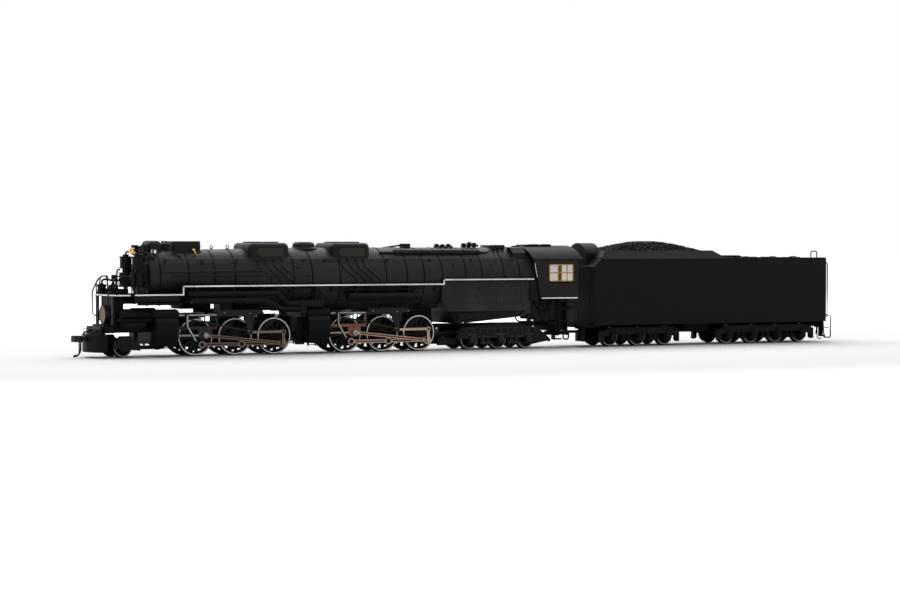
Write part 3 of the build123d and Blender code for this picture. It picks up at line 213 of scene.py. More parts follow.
def fit(name, drawn, material, body):
    """Closes a drawn mesh, smooths its round faces and places it."""
    bmesh.ops.recalc_face_normals(drawn, faces=drawn.faces)
    mesh = bpy.data.meshes.new(name)
    drawn.to_mesh(mesh)
    drawn.free()
    for face in mesh.polygons:
        face.use_smooth = True
    mesh.set_sharp_from_angle(angle=radians(38))
    mesh.materials.append(material)
    return place(name, mesh, body)


deck_top = 30.3
deck_front = -6.9
deck_front_half = 9.6
deck_corner = -2.9
deck_rear = 1.2
deck_half = 17.5
line_depth = 0.65
line_proud = 0.06
line_sunk = 0.05
line_ease = 0.03
line_heights = (deck_top - line_depth, deck_top)
front_edge = (deck_front - line_proud, deck_front + line_sunk)
deck_line = bmesh.new()
box_into(deck_line, front_edge, (-deck_front_half, deck_front_half), line_heights, line_ease)
for side in (-1, 1):
    side_edge = flank(side, deck_half - line_sunk, deck_half + line_proud)
    box_into(deck_line, (deck_corner, deck_rear), side_edge, line_heights, line_ease)
    low, high = line_heights
    ends = []
    for station, lateral in ((deck_front, deck_front_half), (deck_corner, deck_half)):
        inner = (station + line_sunk, side * (lateral - line_sunk))
        outer = (station - line_proud, side * (lateral + line_proud / 2))
        ends.append([at(*inner, low), at(*outer, low), at(*outer, high), at(*inner, high)])
    prism_into(deck_line, *ends)
fit("deck_edge_line", deck_line, line_white, "front_engine")


# Deck rails: bent wire hoops with stays and cross wires between them. They stand in holes in the deck and
# are soldered where they meet.
def bend(points, reach):
    """Rounds a route's corners; an arc starts this many millimetres before its corner."""
    route = [points[0]]
    for before, corner, after in zip(points, points[1:], points[2:]):
        into = before - corner
        out = after - corner
        start = corner + into.normalized() * min(reach * mm, into.length / 2)
        end = corner + out.normalized() * min(reach * mm, out.length / 2)
        for step in range(5):
            share = step / 4
            route.append(start.lerp(corner, share).lerp(corner.lerp(end, share), share))
    route.append(points[-1])
    return route


def tube_into(drawn, points, radius, sides=8):
    """Adds a round bar along frame points, closed at both ends."""
    rings = []
    normal = None
    for index, point in enumerate(points):
        along = (points[min(index + 1, len(points) - 1)] - points[max(index - 1, 0)]).normalized()
        if normal is None:
            helper = Vector((0, 0, 1)) if abs(along.z) < 0.9 else Vector((1, 0, 0))
            normal = along.cross(helper)
        normal = (normal - along * normal.dot(along)).normalized()
        across = along.cross(normal)
        ring = []
        for step in range(sides):
            turn = 2 * pi * step / sides
            ring.append(drawn.verts.new(point + (normal * cos(turn) + across * sin(turn)) * radius * mm))
        rings.append(ring)
    for first, second in zip(rings, rings[1:]):
        for step in range(sides):
            follow = (step + 1) % sides
            drawn.faces.new((first[step], first[follow], second[follow], second[step]))
    drawn.faces.new(list(reversed(rings[0])))
    drawn.faces.new(rings[-1])


def pipe_into(drawn, side, route, reach, radius, sides=8):
    """Adds a bent bar along (station, distance from the middle, height) places on one side."""
    points = [at(station, side * lateral, height) for station, lateral, height in route]
    tube_into(drawn, bend(points, reach), radius, sides)


stay_radius = 0.28
stay_bend = 1.2
stay_foot = deck_top - 0.2
rail_top = 38.9
hoop_wire = 11.4
side_wire = 14.6
rear_wire = 14.0
stay_routes = (
    [(-3.4, hoop_wire, rail_top), (-5.4, hoop_wire, stay_foot)],
    [(-6.3, hoop_wire, 34.6), (0.1, hoop_wire, 34.6)],
    [(-4.6, side_wire, stay_foot), (-4.6, side_wire, 36.6), (-1.8, side_wire, rail_top),
     (0.9, rear_wire, rail_top)],
    [(0.9, rear_wire, rail_top), (0.9, rear_wire, stay_foot)],
    [(-5.9, hoop_wire, 33.8), (-4.6, side_wire, 33.8)],
)
deck_stays = bmesh.new()
for side in (-1, 1):
    for route in stay_routes:
        pipe_into(deck_stays, side, route, stay_bend, stay_radius)
fit("deck_stays", deck_stays, deck_black, "front_engine")


# Deck gear: pump heads with their pipes on the deck, the coupler's lift bar across the beam and an air hose
# on each side of it. All cast or bent in the same black and bolted down.
up = (0, 0, 1)


def lathe_into(drawn, origin, axis, profile, sides=24, closed=False):
    """Turns (distance along the axis, radius) points, in millimetres, about an axis through a frame point."""
    axis = Vector(axis).normalized()
    across = axis.cross(Vector(up) if abs(axis.z) < 0.9 else Vector((1, 0, 0))).normalized()
    upward = axis.cross(across)
    rings = []
    for along, radius in profile:
        centre = origin + axis * along * mm
        turns = [2 * pi * step / sides for step in range(sides if radius else 1)]
        spokes = [across * cos(turn) + upward * sin(turn) for turn in turns]
        rings.append([drawn.verts.new(centre + spoke * radius * mm) for spoke in spokes])
    pairs = list(zip(rings, rings[1:]))
    if closed:
        pairs.append((rings[-1], rings[0]))
    for first, second in pairs:
        for step in range(sides):
            follow = (step + 1) % sides
            corners = [
                first[step % len(first)],
                first[follow % len(first)],
                second[follow % len(second)],
                second[step % len(second)],
            ]
            corners = list(dict.fromkeys(corners))
            if len(corners) > 2:
                drawn.faces.new(corners)


pump_station = -4.2
pump_lateral = 7.9
pump_seat = 33.6
pump_head = [(0, 0), (0, 2.1), (0.5, 2.2), (0.9, 2.1), (0.9, 1.2), (1.6, 1.0), (2.0, 0.5), (2.0, 0)]
supply_pipe = [(pump_station, pump_lateral, 35.2), (pump_station, pump_lateral, 37.0), (-2.4, 6.4, 37.6),
               (0.8, 6.0, 36.6)]
drain_pipe = [(pump_station, 9.6, 32.0), (pump_station, 12.6, 32.4), (-2.6, 13.2, 30.4)]
air_hose = [(-11.0, 5.4, 12.8), (-12.8, 5.4, 12.6), (-14.6, 5.4, 11.6), (-14.9, 5.6, 8.4)]
lift_end = 9.9
lift_height = 13.6
lift_radius = 0.25
lift_handle = [(-11.5, lift_end, lift_height), (-12.6, lift_end, lift_height), (-12.6, lift_end, 11.4)]
deck_gear = bmesh.new()
for side in (-1, 1):
    lathe_into(deck_gear, at(pump_station, side * pump_lateral, pump_seat), up, pump_head, 16)
    pipe_into(deck_gear, side, supply_pipe, 1.2, 0.5)
    pipe_into(deck_gear, side, drain_pipe, 0.8, 0.4)
    pipe_into(deck_gear, side, air_hose, 1.6, 0.45)
    pipe_into(deck_gear, side, lift_handle, 0.6, lift_radius)
tube_into(deck_gear, [at(-11.6, -lift_end, lift_height), at(-11.6, lift_end, lift_height)], lift_radius)
fit("deck_gear", deck_gear, deck_black, "front_engine")


# Headlight: a black casting with a toothed cooling rim, a dished gold reflector and black bars
# across its face.
lamp_gold = painted("lamp_gold", (0.15, 0.115, 0.035), 0.3, 0.3, metallic=0.6)
lamp_black = painted("lamp_black", (0.010, 0.010, 0.009), 0.35, 0.3)
dress(lamp_black, "headlight")
ahead = (1, 0, 0)
astern = (-1, 0, 0)
headlight_face = -6.85
headlight_height = 20.6
tooth_count = 28
tooth_circle = 4.25
rim_tooth = [(0, 0), (0, 0.22), (2.0, 0.3), (2.0, 0)]
rim_ring = [(0, 3.7), (0, 4.2), (0.5, 4.2), (0.5, 3.7)]
bar_stations = (-6.78, -6.5)
bar_pitch = 0.95
bar_half = 0.1
bar_circle = 3.5
headlight_rim = bmesh.new()
for tooth in range(tooth_count):
    turn = 2 * pi * tooth / tooth_count
    root = at(headlight_face, tooth_circle * cos(turn), headlight_height + tooth_circle * sin(turn))
    lathe_into(headlight_rim, root, astern, rim_tooth, 6)
lathe_into(headlight_rim, at(headlight_face, 0, headlight_height), astern, rim_ring, 40, closed=True)
for bar in range(-3, 4):
    rise = bar * bar_pitch
    reach = sqrt(bar_circle**2 - rise**2)
    heights = (headlight_height + rise - bar_half, headlight_height + rise + bar_half)
    box_into(headlight_rim, bar_stations, (-reach, reach), heights, 0.04)
reflector_station = -6.32
dish = [(0, 0), (0, 3.68), (0.42, 3.68), (0.3, 3.0), (0.12, 1.6), (0.3, 0.7), (0.34, 0)]
headlight_reflector = bmesh.new()
lathe_into(headlight_reflector, at(reflector_station, 0, headlight_height), ahead, dish, 32)
fit("headlight_rim", headlight_rim, lamp_black, "front_engine")
fit("headlight_reflector", headlight_reflector, lamp_gold, "front_engine")


# Couplers: cast knuckle couplers, chemically browned and pinned in their pockets. A bent wire trip pin is
# pressed into the front one.
coupler_brown = painted("coupler_brown", (0.012, 0.010, 0.009), 0.45, 0.3, strength=0.3, metallic=0.4)
dress(coupler_brown, "front_coupler", "tender_coupler")
down = (0, 0, -1)
pin_station = -17.6
pin_boss = [(0, 0), (0, 0.8), (0.9, 0.8), (1.2, 0.45), (1.2, 0)]
pin_route = [(pin_station, 0, 8.4), (pin_station, 0, 3.4), (-18.6, 0, 1.6), (-20.0, 0, 0.9), (-21.2, 0, 0.75)]
trip_pin = bmesh.new()
pipe_into(trip_pin, 1, pin_route, 1.6, 0.42)
lathe_into(trip_pin, at(pin_station, 0, 8.6), down, pin_boss, 10)
fit("trip_pin", trip_pin, deck_black, "front_engine")


# Trucks: cast side frames in dusty black, with journal boxes, round covers and coil springs that stand
# between the axles on a plank. The trailing truck's journal gear, springs and bolts are lighter brown:
# painted highlights.
truck_black = painted("truck_black", (0.0045, 0.0043, 0.0040), 0.4, 0.12, strength=0.22, reach=0.02)
# Lighter brown used only on the trailing truck: painted highlights on its journal gear.
journal_highlight_brown = painted("journal_highlight_brown", (0.020, 0.017, 0.014), 0.36, 0.3, strength=0.3, reach=0.02)
truck_nodes = ("lead_truck", "trailing_truck", "tender_front_truck", "tender_rear_truck")
dress(truck_black, *truck_nodes)
carrying_height = 5.5
truck_axles = {
    "trailing_truck": [187.4 + 16.6 * i for i in range(3)],
    "tender_front_truck": [271.9 + 17.2 * i for i in range(3)],
    "tender_rear_truck": [346.2 + 16.27 * i for i in range(4)],
}


def make_tree(name, inputs):
    """A geometry tree with named inputs, whose first is the geometry it grows on."""
    tree = bpy.data.node_groups.new(name, "GeometryNodeTree")
    tree.interface.new_socket("Geometry", in_out="INPUT", socket_type="NodeSocketGeometry")
    for socket, kind in inputs:
        tree.interface.new_socket(socket, in_out="INPUT", socket_type=kind)
    tree.interface.new_socket("Geometry", in_out="OUTPUT", socket_type="NodeSocketGeometry")
    return tree, tree.nodes.new("NodeGroupInput"), tree.nodes.new("NodeGroupOutput")


def close_tree(tree, entry, leave, instances):
    """Ends a tree in plain geometry with its finish."""
    solid = tree.nodes.new("GeometryNodeRealizeInstances")
    finish = tree.nodes.new("GeometryNodeSetMaterial")
    tree.links.new(instances, solid.inputs["Geometry"])
    tree.links.new(solid.outputs["Geometry"], finish.inputs["Geometry"])
    tree.links.new(entry.outputs["Finish"], finish.inputs["Material"])
    tree.links.new(finish.outputs["Geometry"], leave.inputs["Geometry"])


def grow(tree, mesh, values):
    """Runs a tree on a mesh of points or faces and returns what it makes as a plain mesh."""
    seed = bpy.data.objects.new("seed", mesh)
    bpy.context.scene.collection.objects.link(seed)
    modifier = seed.modifiers.new("grow", "NODES")
    modifier.node_group = tree
    for item in tree.interface.items_tree:
        if item.in_out == "INPUT" and item.name in values:
            modifier[item.identifier] = values[item.name]
    graph = bpy.context.evaluated_depsgraph_get()
    made = bpy.data.meshes.new_from_object(seed.evaluated_get(graph))
    bpy.data.objects.remove(seed)
    return made


def point_mesh(points):
    """A mesh of loose points for a tree to grow on."""
    mesh = bpy.data.meshes.new("points")
    mesh.from_pydata([tuple(point) for point in points], [], [])
    return mesh


coil_tree, entry, leave = make_tree(
    "coil_springs",
    [("Radius", "NodeSocketFloat"), ("Wire", "NodeSocketFloat"), ("Length", "NodeSocketFloat"),
     ("Turns", "NodeSocketFloat"), ("Finish", "NodeSocketMaterial")],
)
spiral = coil_tree.nodes.new("GeometryNodeCurveSpiral")
spiral.inputs["Resolution"].default_value = 12
wire_ring = coil_tree.nodes.new("GeometryNodeCurvePrimitiveCircle")
wire_ring.inputs["Resolution"].default_value = 5
coil_sweep = coil_tree.nodes.new("GeometryNodeCurveToMesh")
coil_sweep.inputs["Fill Caps"].default_value = True
coil_set = coil_tree.nodes.new("GeometryNodeInstanceOnPoints")
for source, target in (
    (entry.outputs["Radius"], spiral.inputs["Start Radius"]),
    (entry.outputs["Radius"], spiral.inputs["End Radius"]),
    (entry.outputs["Length"], spiral.inputs["Height"]),
    (entry.outputs["Turns"], spiral.inputs["Rotations"]),
    (entry.outputs["Wire"], wire_ring.inputs["Radius"]),
    (spiral.outputs["Curve"], coil_sweep.inputs["Curve"]),
    (wire_ring.outputs["Curve"], coil_sweep.inputs["Profile Curve"]),
    (coil_sweep.outputs["Mesh"], coil_set.inputs["Instance"]),
    (entry.outputs["Geometry"], coil_set.inputs["Points"]),
):
    coil_tree.links.new(source, target)
close_tree(coil_tree, entry, leave, coil_set.outputs["Instances"])

stud_tree, entry, leave = make_tree("studs", [("Head", "NodeSocketFloat"), ("Finish", "NodeSocketMaterial")])
stud_head = stud_tree.nodes.new("GeometryNodeMeshUVSphere")
stud_head.inputs["Segments"].default_value = 6
stud_head.inputs["Rings"].default_value = 4
stud_set = stud_tree.nodes.new("GeometryNodeInstanceOnPoints")
stud_tree.links.new(entry.outputs["Head"], stud_head.inputs["Radius"])
stud_tree.links.new(stud_head.outputs["Mesh"], stud_set.inputs["Instance"])
stud_tree.links.new(entry.outputs["Geometry"], stud_set.inputs["Points"])
close_tree(stud_tree, entry, leave, stud_set.outputs["Instances"])


def studs(name, places, head, material, body):
    """Rivets or bolts with round heads, half sunk at (station, lateral, height) places."""
    points = point_mesh([at(*where) for where in places])
    mesh = grow(stud_tree, points, {"Head": head * mm, "Finish": material})
    return place(name, mesh, body)


def plate_into(drawn, outline, laterals):
    """Adds a plate between two laterals, with an outline of (station, height) points."""
    near, far = laterals
    prism_into(drawn, [at(s, near, z) for s, z in outline], [at(s, far, z) for s, z in outline])


spring_values = {"Radius": 1.08 * mm, "Wire": 0.17 * mm, "Length": 2.4 * mm, "Turns": 4.0}
spring_lateral = 12.1
spring_foot = 3.85
frame_inner, frame_face = 11.6, 13.2
web_face = 13.0
box_face = 13.9
bolt_face = 14.0
equalizer_heights = (6.5, 6.95)
plank_heights = (3.3, 3.9)
hinge_heights = (6.75, 7.2)
pedestal_heights = (7.4, 8.3)
top_bar_heights = (7.9, 10.2)
top_rim_heights = (9.7, 10.3)
end_plate_heights = (2.6, 8.9)
rail_heights = (10.9, 11.3)
rib_heights = (8.2, 11.0)
tongue_heights = (2.6, 6.6)
cover_ring = [(14.2, 1.5), (14.45, 1.4), (14.45, 1.0), (14.2, 0.9)]
rib_count = 11
rib_pitch = 4.05
rib_width = 0.45
for truck, axles in truck_axles.items():
    trailing = truck == "trailing_truck"
    journal_finish = journal_highlight_brown if trailing else truck_black
    spring_values["Finish"] = journal_finish
    front_axle, rear_axle = axles[0], axles[-1]
    feet = []
    bolts = []
    side_plates = bmesh.new()
    journal_gear = bmesh.new()
    for side in (-1, 1):
        for first, second in zip(axles, axles[1:]):
            middle = (first + second) / 2
            feet += [at(middle + offset, side * spring_lateral, spring_foot) for offset in (-1.6, 1.6)]
            equalizer = (first + 2.6, second - 2.6)
            box_into(journal_gear, equalizer, flank(side, frame_face, 13.55), equalizer_heights, 0.1)
            plank = (first + 4.4, second - 4.4)
            box_into(journal_gear, plank, flank(side, 12.6, 13.5), plank_heights, 0.15)
        for axle in axles:
            for along in (-1.3, 1.3):
                bolts += [(axle + along, side * bolt_face, carrying_height + rise) for rise in (-1.9, 1.45)]
            hinge = (axle - 1.0, axle + 1.0)
            box_into(journal_gear, hinge, flank(side, box_face, 14.35), hinge_heights, 0.1)
            pedestal = (axle - 2.6, axle + 2.6)
            box_into(journal_gear, pedestal, flank(side, frame_face, 13.6), pedestal_heights, 0.15)
            lathe_into(journal_gear, at(axle, 0, carrying_height), (0, side, 0), cover_ring, 20, closed=True)
            cap = [at(axle, side * reach, carrying_height) for reach in (14.25, 14.6)]
            tube_into(journal_gear, cap, 0.45)
        top_bar = (front_axle - 3.8, rear_axle + 3.8)
        box_into(side_plates, top_bar, flank(side, frame_inner, frame_face), top_bar_heights, 0.5)
        top_rim = (front_axle - 3.4, rear_axle + 3.4)
        box_into(side_plates, top_rim, flank(side, web_face, 13.5), top_rim_heights, 0.15)
        if trailing:
            wedge = [
                (rear_axle + 1.9, 11.4),
                (rear_axle + 5.4, 11.0),
                (rear_axle + 12.7, 5.4),
                (rear_axle + 12.4, 4.2),
                (rear_axle + 1.9, 2.4),
            ]
            plate_into(side_plates, wedge, flank(side, 11.2, web_face))
            rail = (front_axle - 4.0, rear_axle + 4.0)
            box_into(journal_gear, rail, flank(side, web_face, 13.6), rail_heights, 0.1)
            for rib in range(rib_count):
                start = front_axle - 3.6 + rib_pitch * rib
                rib_ends = (start, start + rib_width)
                box_into(journal_gear, rib_ends, flank(side, web_face, 13.55), rib_heights, 0.1)
            tongue = (front_axle - 18.0, front_axle - 6.4)
            box_into(side_plates, tongue, flank(side, 7.2, 8.6), tongue_heights, 0.6)
        else:
            for end in (front_axle - 5.6, rear_axle + 5.6):
                end_plate = (end - 0.9, end + 0.9)
                box_into(side_plates, end_plate, flank(side, 10.9, 12.9), end_plate_heights, 0.5)
    place(f"{truck}_springs", grow(coil_tree, point_mesh(feet), spring_values), truck)
    studs(f"{truck}_bolts", bolts, 0.24, journal_finish, truck)
    fit(f"{truck}_side_plates", side_plates, truck_black, truck)
    fit(f"{truck}_journal_gear", journal_gear, journal_finish, truck)

lead_cover = [(0, 0), (0, 1.5), (0.4, 1.3), (0.55, 0)]
lead_casting = bmesh.new()
for side in (-1, 1):
    box_into(lead_casting, (-3.6, 3.8), flank(side, 11.4, 13.0), (5.6, 10.6), 0.8)
    box_into(lead_casting, (-2.4, 2.6), flank(side, 12.9, 13.9), (3.6, 8.6), 0.5)
    lathe_into(lead_casting, at(0.1, side * 13.8, 5.4), (0, side, 0), lead_cover, 18)
fit("lead_truck_casting", lead_casting, truck_black, "lead_truck")


# Wheels: black cast centres with steel tyres. The drivers' tyres have a white painted ring on each face,
# and the carrying wheels are bare bright steel there.
driver_black = painted("driver_black", (0.0045, 0.0043, 0.0040), 0.38, 0.10, strength=0.25)
wheel_black = painted("wheel_black", (0.0045, 0.0044, 0.0042), 0.38, 0.12, strength=0.2, metallic=0.2)
tyre_white = painted("tyre_white", (0.88, 0.88, 0.86), 0.35, 0.3)
tyre_steel = painted("tyre_steel", (0.34, 0.34, 0.33), 0.3, 0.5, metallic=0.9)
wheel_face = 9.8
driver_height = 9.4
driver_axles = {
    engine: [first + 20.7 * i for i in range(3)] for engine, first in (("front", 37.0), ("rear", 116.9))
}
ring_sunk, ring_proud, ring_ease = 0.1, 0.06, 0.08
driver_ring_inner, driver_ring_outer = 8.2, 8.85
lead_tread, carrying_tread = 4.5, 5.0
rail_height = 0.5
bare_ring_inner, bare_ring_outer = 0.5, 0.05


def tyre_rings(name, station, height, inner, outer, material, body):
    """A thin ring on the outer face of both tyres of an axle."""
    drawn = bmesh.new()
    section = [
        (wheel_face - ring_sunk, inner),
        (wheel_face + ring_proud, inner + ring_ease),
        (wheel_face + ring_proud, outer - ring_ease),
        (wheel_face - ring_sunk, outer),
    ]
    for side in (-1, 1):
        lathe_into(drawn, at(station, 0, height), (0, side, 0), section, 48, closed=True)
    fit(name, drawn, material, body)


for engine, axles in driver_axles.items():
    for number, station in enumerate(axles, 1):
        body = f"{engine}_driver_{number}"
        dress(driver_black, body)
        tyre_rings(f"{body}_tyre_rings", station, driver_height, driver_ring_inner, driver_ring_outer,
                   tyre_white, body)
plain_axles = [("lead_wheelset", "lead_axle", 0.0, lead_tread)]
for truck, axles in truck_axles.items():
    family = truck.removesuffix("_truck")
    for number, station in enumerate(axles, 1):
        node, body = f"{family}_wheelset_{number}", f"{family}_axle_{number}"
        plain_axles.append((node, body, station, carrying_tread))
for node, body, station, tread in plain_axles:
    dress(wheel_black, node)
    tyre_rings(f"{node}_tyre_rings", station, tread + rail_height, tread - bare_ring_inner,
               tread - bare_ring_outer, tyre_steel, body)


# Cylinders: black castings with rolled jackets held by straps. Studs hold the piston and valve covers, and
# drain cocks hang below.
cylinder_black = painted("cylinder_black", (0.0035, 0.0035, 0.0035), 0.36, 0.07, strength=0.1)
dress(cylinder_black, "front_cylinders", "rear_cylinders")
cylinder_offset = 23.5
piston_lateral, piston_height = 12.3, 10.2
valve_lateral, valve_height = 15.2, 20.6
cover_offsets = (-0.8, 12.3)
jacket_inner, jacket_face = 18.6, 18.98
strap_offsets = (0.35, 10.55)
strap_width = 0.6
strap_heights = (12.4, 16.8)
panel_offsets = (4.2, 7.4)
panel_heights = (13.4, 16.4)
cock_lateral = 13.6
cock_seat = 5.9
cock_offsets = (1.6, 5.8, 9.9)
cock_rod_height = 4.6
cock_rod_offsets = (1.0, 10.6)
cock = [(0, 0), (0, 0.6), (0.9, 0.6), (0.9, 0.35), (1.9, 0.3), (1.9, 0)]


def stud_ring(station, lateral, height, radius, count):
    """(station, lateral, height) places of studs spaced evenly around a circle."""
    turns = [2 * pi * (step + 0.5) / count for step in range(count)]
    return [(station, lateral + radius * cos(turn), height + radius * sin(turn)) for turn in turns]


for engine, body in (("front", "front_engine"), ("rear", "boiler")):
    start = driver_axles[engine][0] - cylinder_offset
    cover_studs = []
    cylinder_gear = bmesh.new()
    for side in (-1, 1):
        for offset in cover_offsets:
            cover_studs += stud_ring(start + offset, side * piston_lateral, piston_height, 3.65, 12)
            cover_studs += stud_ring(start + offset, side * valve_lateral, valve_height, 1.75, 8)
        for offset in cock_offsets:
            lathe_into(cylinder_gear, at(start + offset, side * cock_lateral, cock_seat), down, cock, 10)
        cock_rod = [at(start + offset, side * cock_lateral, cock_rod_height) for offset in cock_rod_offsets]
        tube_into(cylinder_gear, cock_rod, 0.22)
        jacket = flank(side, jacket_inner, jacket_face)
        for offset in strap_offsets:
            strap = (start + offset, start + offset + strap_width)
            box_into(cylinder_gear, strap, jacket, strap_heights, 0.08)
        panel = [start + offset for offset in panel_offsets]
        box_into(cylinder_gear, panel, jacket, panel_heights, 0.15)
    studs(f"{engine}_cylinder_studs", cover_studs, 0.28, cylinder_black, body)
    fit(f"{engine}_cylinder_cocks", cylinder_gear, cylinder_black, body)


# Motion: bronze-brown rods and crossheads, and blackened valve gear outside them. The front engine's rods are
# a darker copy of the rear's bronze: painted shade. The piston rods, valve stems and combination levers are
# polished steel.
def make_motion_metal(name, dull, bright):
    """Rod metal between two tones near the wheels, and dark steel in the outer layer of the valve gear."""
    material = bpy.data.materials.new(name)
    material.use_nodes = True
    tree = material.node_tree
    shader = tree.nodes["Principled BSDF"]
    shader.inputs["Metallic"].default_value = 0.7
    shader.inputs["Specular IOR Level"].default_value = 0.3
    where = tree.nodes.new("ShaderNodeTexCoord")
    split = tree.nodes.new("ShaderNodeSeparateXYZ")
    outward = tree.nodes.new("ShaderNodeMath")
    outward.operation = "ABSOLUTE"
    layer = tree.nodes.new("ShaderNodeMapRange")
    layer.inputs["From Min"].default_value = 0.0162
    layer.inputs["From Max"].default_value = 0.0165
    mottle = tree.nodes.new("ShaderNodeTexNoise")
    mottle.inputs["Scale"].default_value = 260
    bronze = tree.nodes.new("ShaderNodeMix")
    bronze.data_type = "RGBA"
    bronze.inputs[6].default_value = (*dull, 1)
    bronze.inputs[7].default_value = (*bright, 1)
    colour = tree.nodes.new("ShaderNodeMix")
    colour.data_type = "RGBA"
    colour.inputs[7].default_value = (0.012, 0.011, 0.010, 1)
    polish = tree.nodes.new("ShaderNodeMapRange")
    polish.inputs["To Min"].default_value = 0.3
    polish.inputs["To Max"].default_value = 0.5
    for source, target in (
        (where.outputs["Object"], split.inputs["Vector"]),
        (where.outputs["Object"], mottle.inputs["Vector"]),
        (split.outputs["Y"], outward.inputs[0]),
        (outward.outputs["Value"], layer.inputs["Value"]),
        (mottle.outputs["Fac"], bronze.inputs[0]),
        (layer.outputs["Result"], colour.inputs[0]),
        (bronze.outputs[2], colour.inputs[6]),
        (colour.outputs[2], shader.inputs["Base Color"]),
        (mottle.outputs["Fac"], polish.inputs["Value"]),
        (polish.outputs["Result"], shader.inputs["Roughness"]),
    ):
        tree.links.new(source, target)
    return material


# One bronze in two copies: the front engine's darker as painted shade, the rear's lighter as painted light.
rod_metals = {
    "front": make_motion_metal("rod_bronze_painted_shade", (0.11, 0.072, 0.055), (0.21, 0.145, 0.112)),
    "rear": make_motion_metal("rod_bronze_painted_lit", (0.33, 0.225, 0.175), (0.52, 0.38, 0.31)),
}
gear_steel = make_motion_metal("gear_steel", (0.018, 0.015, 0.013), (0.036, 0.030, 0.026))
crosshead_red = make_motion_metal("crosshead_red", (0.13, 0.055, 0.04), (0.20, 0.10, 0.075))
guide_metals = {"front": gear_steel, "rear": crosshead_red}
# The dark bars in the rods' flutes are painted shade in the grooves.
flute_painted_shade = painted("flute_painted_shade", (0.05, 0.033, 0.025), 0.5, 0.1)
polished_steel = painted("polished_steel", (0.24, 0.235, 0.23), 0.28, 0.5, metallic=0.9)


def bar_into(drawn, start, end, laterals, half):
    """Adds a flat bar between two (station, height) places."""
    start, end = Vector(start), Vector(end)
    along = (end - start).normalized()
    lift = Vector((-along.y, along.x)) * half
    plate_into(drawn, [start + lift, end + lift, end - lift, start - lift], laterals)


crank_turn = {"left": 232.0, "right": 322.0}
crank_radius = 4.8
return_crank_turn = -92.0
return_crank_radius = 3.3
wrist_offset = 3.9
wrist_height = piston_height
stem_height = 20.1
piston_rod = [(-11.2, 0), (-11.2, 0.68), (0.6, 0.68), (0.6, 0)]
valve_stem = [(-11.2, 0), (-11.2, 0.56), (9.2, 0.56), (9.2, 0)]
lever_station = -7.0
lever_half = 0.34
lever_inner, lever_face = 17.35, 17.5
gear_pin_face = 17.4
gear_pin_places = ((lever_station, stem_height), (lever_station, 14.7), (-2.7, 7.9), (24.9, 12.1),
                   (25.4, 20.6), (12.0, 21.0))
side_rod_face = 10.92
main_rod_face = 13.92
flute_sunk, flute_proud, flute_half = 0.1, 0.06, 0.28
crank_eye = [(15.0, 0), (15.0, 1.25), (15.3, 1.15), (15.38, 0)]
side_rod_bush = [(11.1, 1.5), (11.32, 1.45), (11.32, 1.2), (11.1, 1.15)]
wrist_pin = [(14.1, 1.2), (14.3, 1.1), (14.34, 0.5), (14.34, 0), (14.1, 0)]
for engine, body in (("front", "front_engine"), ("rear", "boiler")):
    axles = driver_axles[engine]
    first, third = axles[0], axles[2]
    rod_metal = rod_metals[engine]
    dress(guide_metals[engine], f"{engine}_motion")
    bright = bmesh.new()
    gear_pins = []
    for sign, side in ((1, "left"), (-1, "right")):
        rods = f"{engine}_rods_{side}"
        outward = (0, sign, 0)
        dress(rod_metal, rods, f"{engine}_eccentric_rod_{side}")
        lathe_into(bright, at(first, sign * piston_lateral, piston_height), astern, piston_rod, 12)
        lathe_into(bright, at(first, sign * valve_lateral, stem_height), astern, valve_stem, 12)
        lever = (sign * lever_inner, sign * lever_face)
        bar_into(bright, (first + lever_station, 20.4), (first + lever_station, 14.7), lever, lever_half)
        bar_into(bright, (first + lever_station, 14.8), (first - 2.6, 7.7), lever, lever_half)
        gear_pins += [(first + along, sign * gear_pin_face, height) for along, height in gear_pin_places]
        turn = radians(crank_turn[side])
        reach, rise = crank_radius * cos(turn), crank_radius * sin(turn)
        crank_pins = [(axle - reach, driver_height + rise) for axle in axles]
        return_turn = radians(crank_turn[side] + return_crank_turn)
        return_pin = (
            third - return_crank_radius * cos(return_turn),
            driver_height + return_crank_radius * sin(return_turn),
        )
        crank = bmesh.new()
        bar_into(crank, crank_pins[2], return_pin, (sign * 15.1, sign * 15.28), 0.75)
        lathe_into(crank, at(crank_pins[2][0], 0, crank_pins[2][1]), outward, crank_eye, 20)
        fit(f"{engine}_return_crank_{side}", crank, rod_metal, f"{engine}_driver_3")
        left_reach = crank_radius * cos(radians(crank_turn["left"]))
        wrist = (first + wrist_offset + left_reach - reach, wrist_height)
        # Dark lining along each flute's floor: painted shade.
        flute_shade = bmesh.new()
        for start, end, face, margin in (
            (crank_pins[0], crank_pins[1], side_rod_face, 2.5),
            (crank_pins[1], crank_pins[2], side_rod_face, 2.5),
            (wrist, crank_pins[2], main_rod_face, 2.7),
        ):
            start, end = Vector(start), Vector(end)
            inset = (end - start).normalized() * margin
            layer = (sign * (face - flute_sunk), sign * (face + flute_proud))
            bar_into(flute_shade, start + inset, end - inset, layer, flute_half)
        fit(f"{engine}_rod_flute_shade_{side}", flute_shade, flute_painted_shade, rods)
        bushes = bmesh.new()
        for station, height in crank_pins[:2]:
            lathe_into(bushes, at(station, 0, height), outward, side_rod_bush, 20, closed=True)
        lathe_into(bushes, at(wrist[0], 0, wrist[1]), outward, wrist_pin, 20)
        fit(f"{engine}_rod_bushes_{side}", bushes, polished_steel, rods)
    fit(f"{engine}_bright_motion", bright, polished_steel, body)
    studs(f"{engine}_gear_pins", gear_pins, 0.42, polished_steel, body)


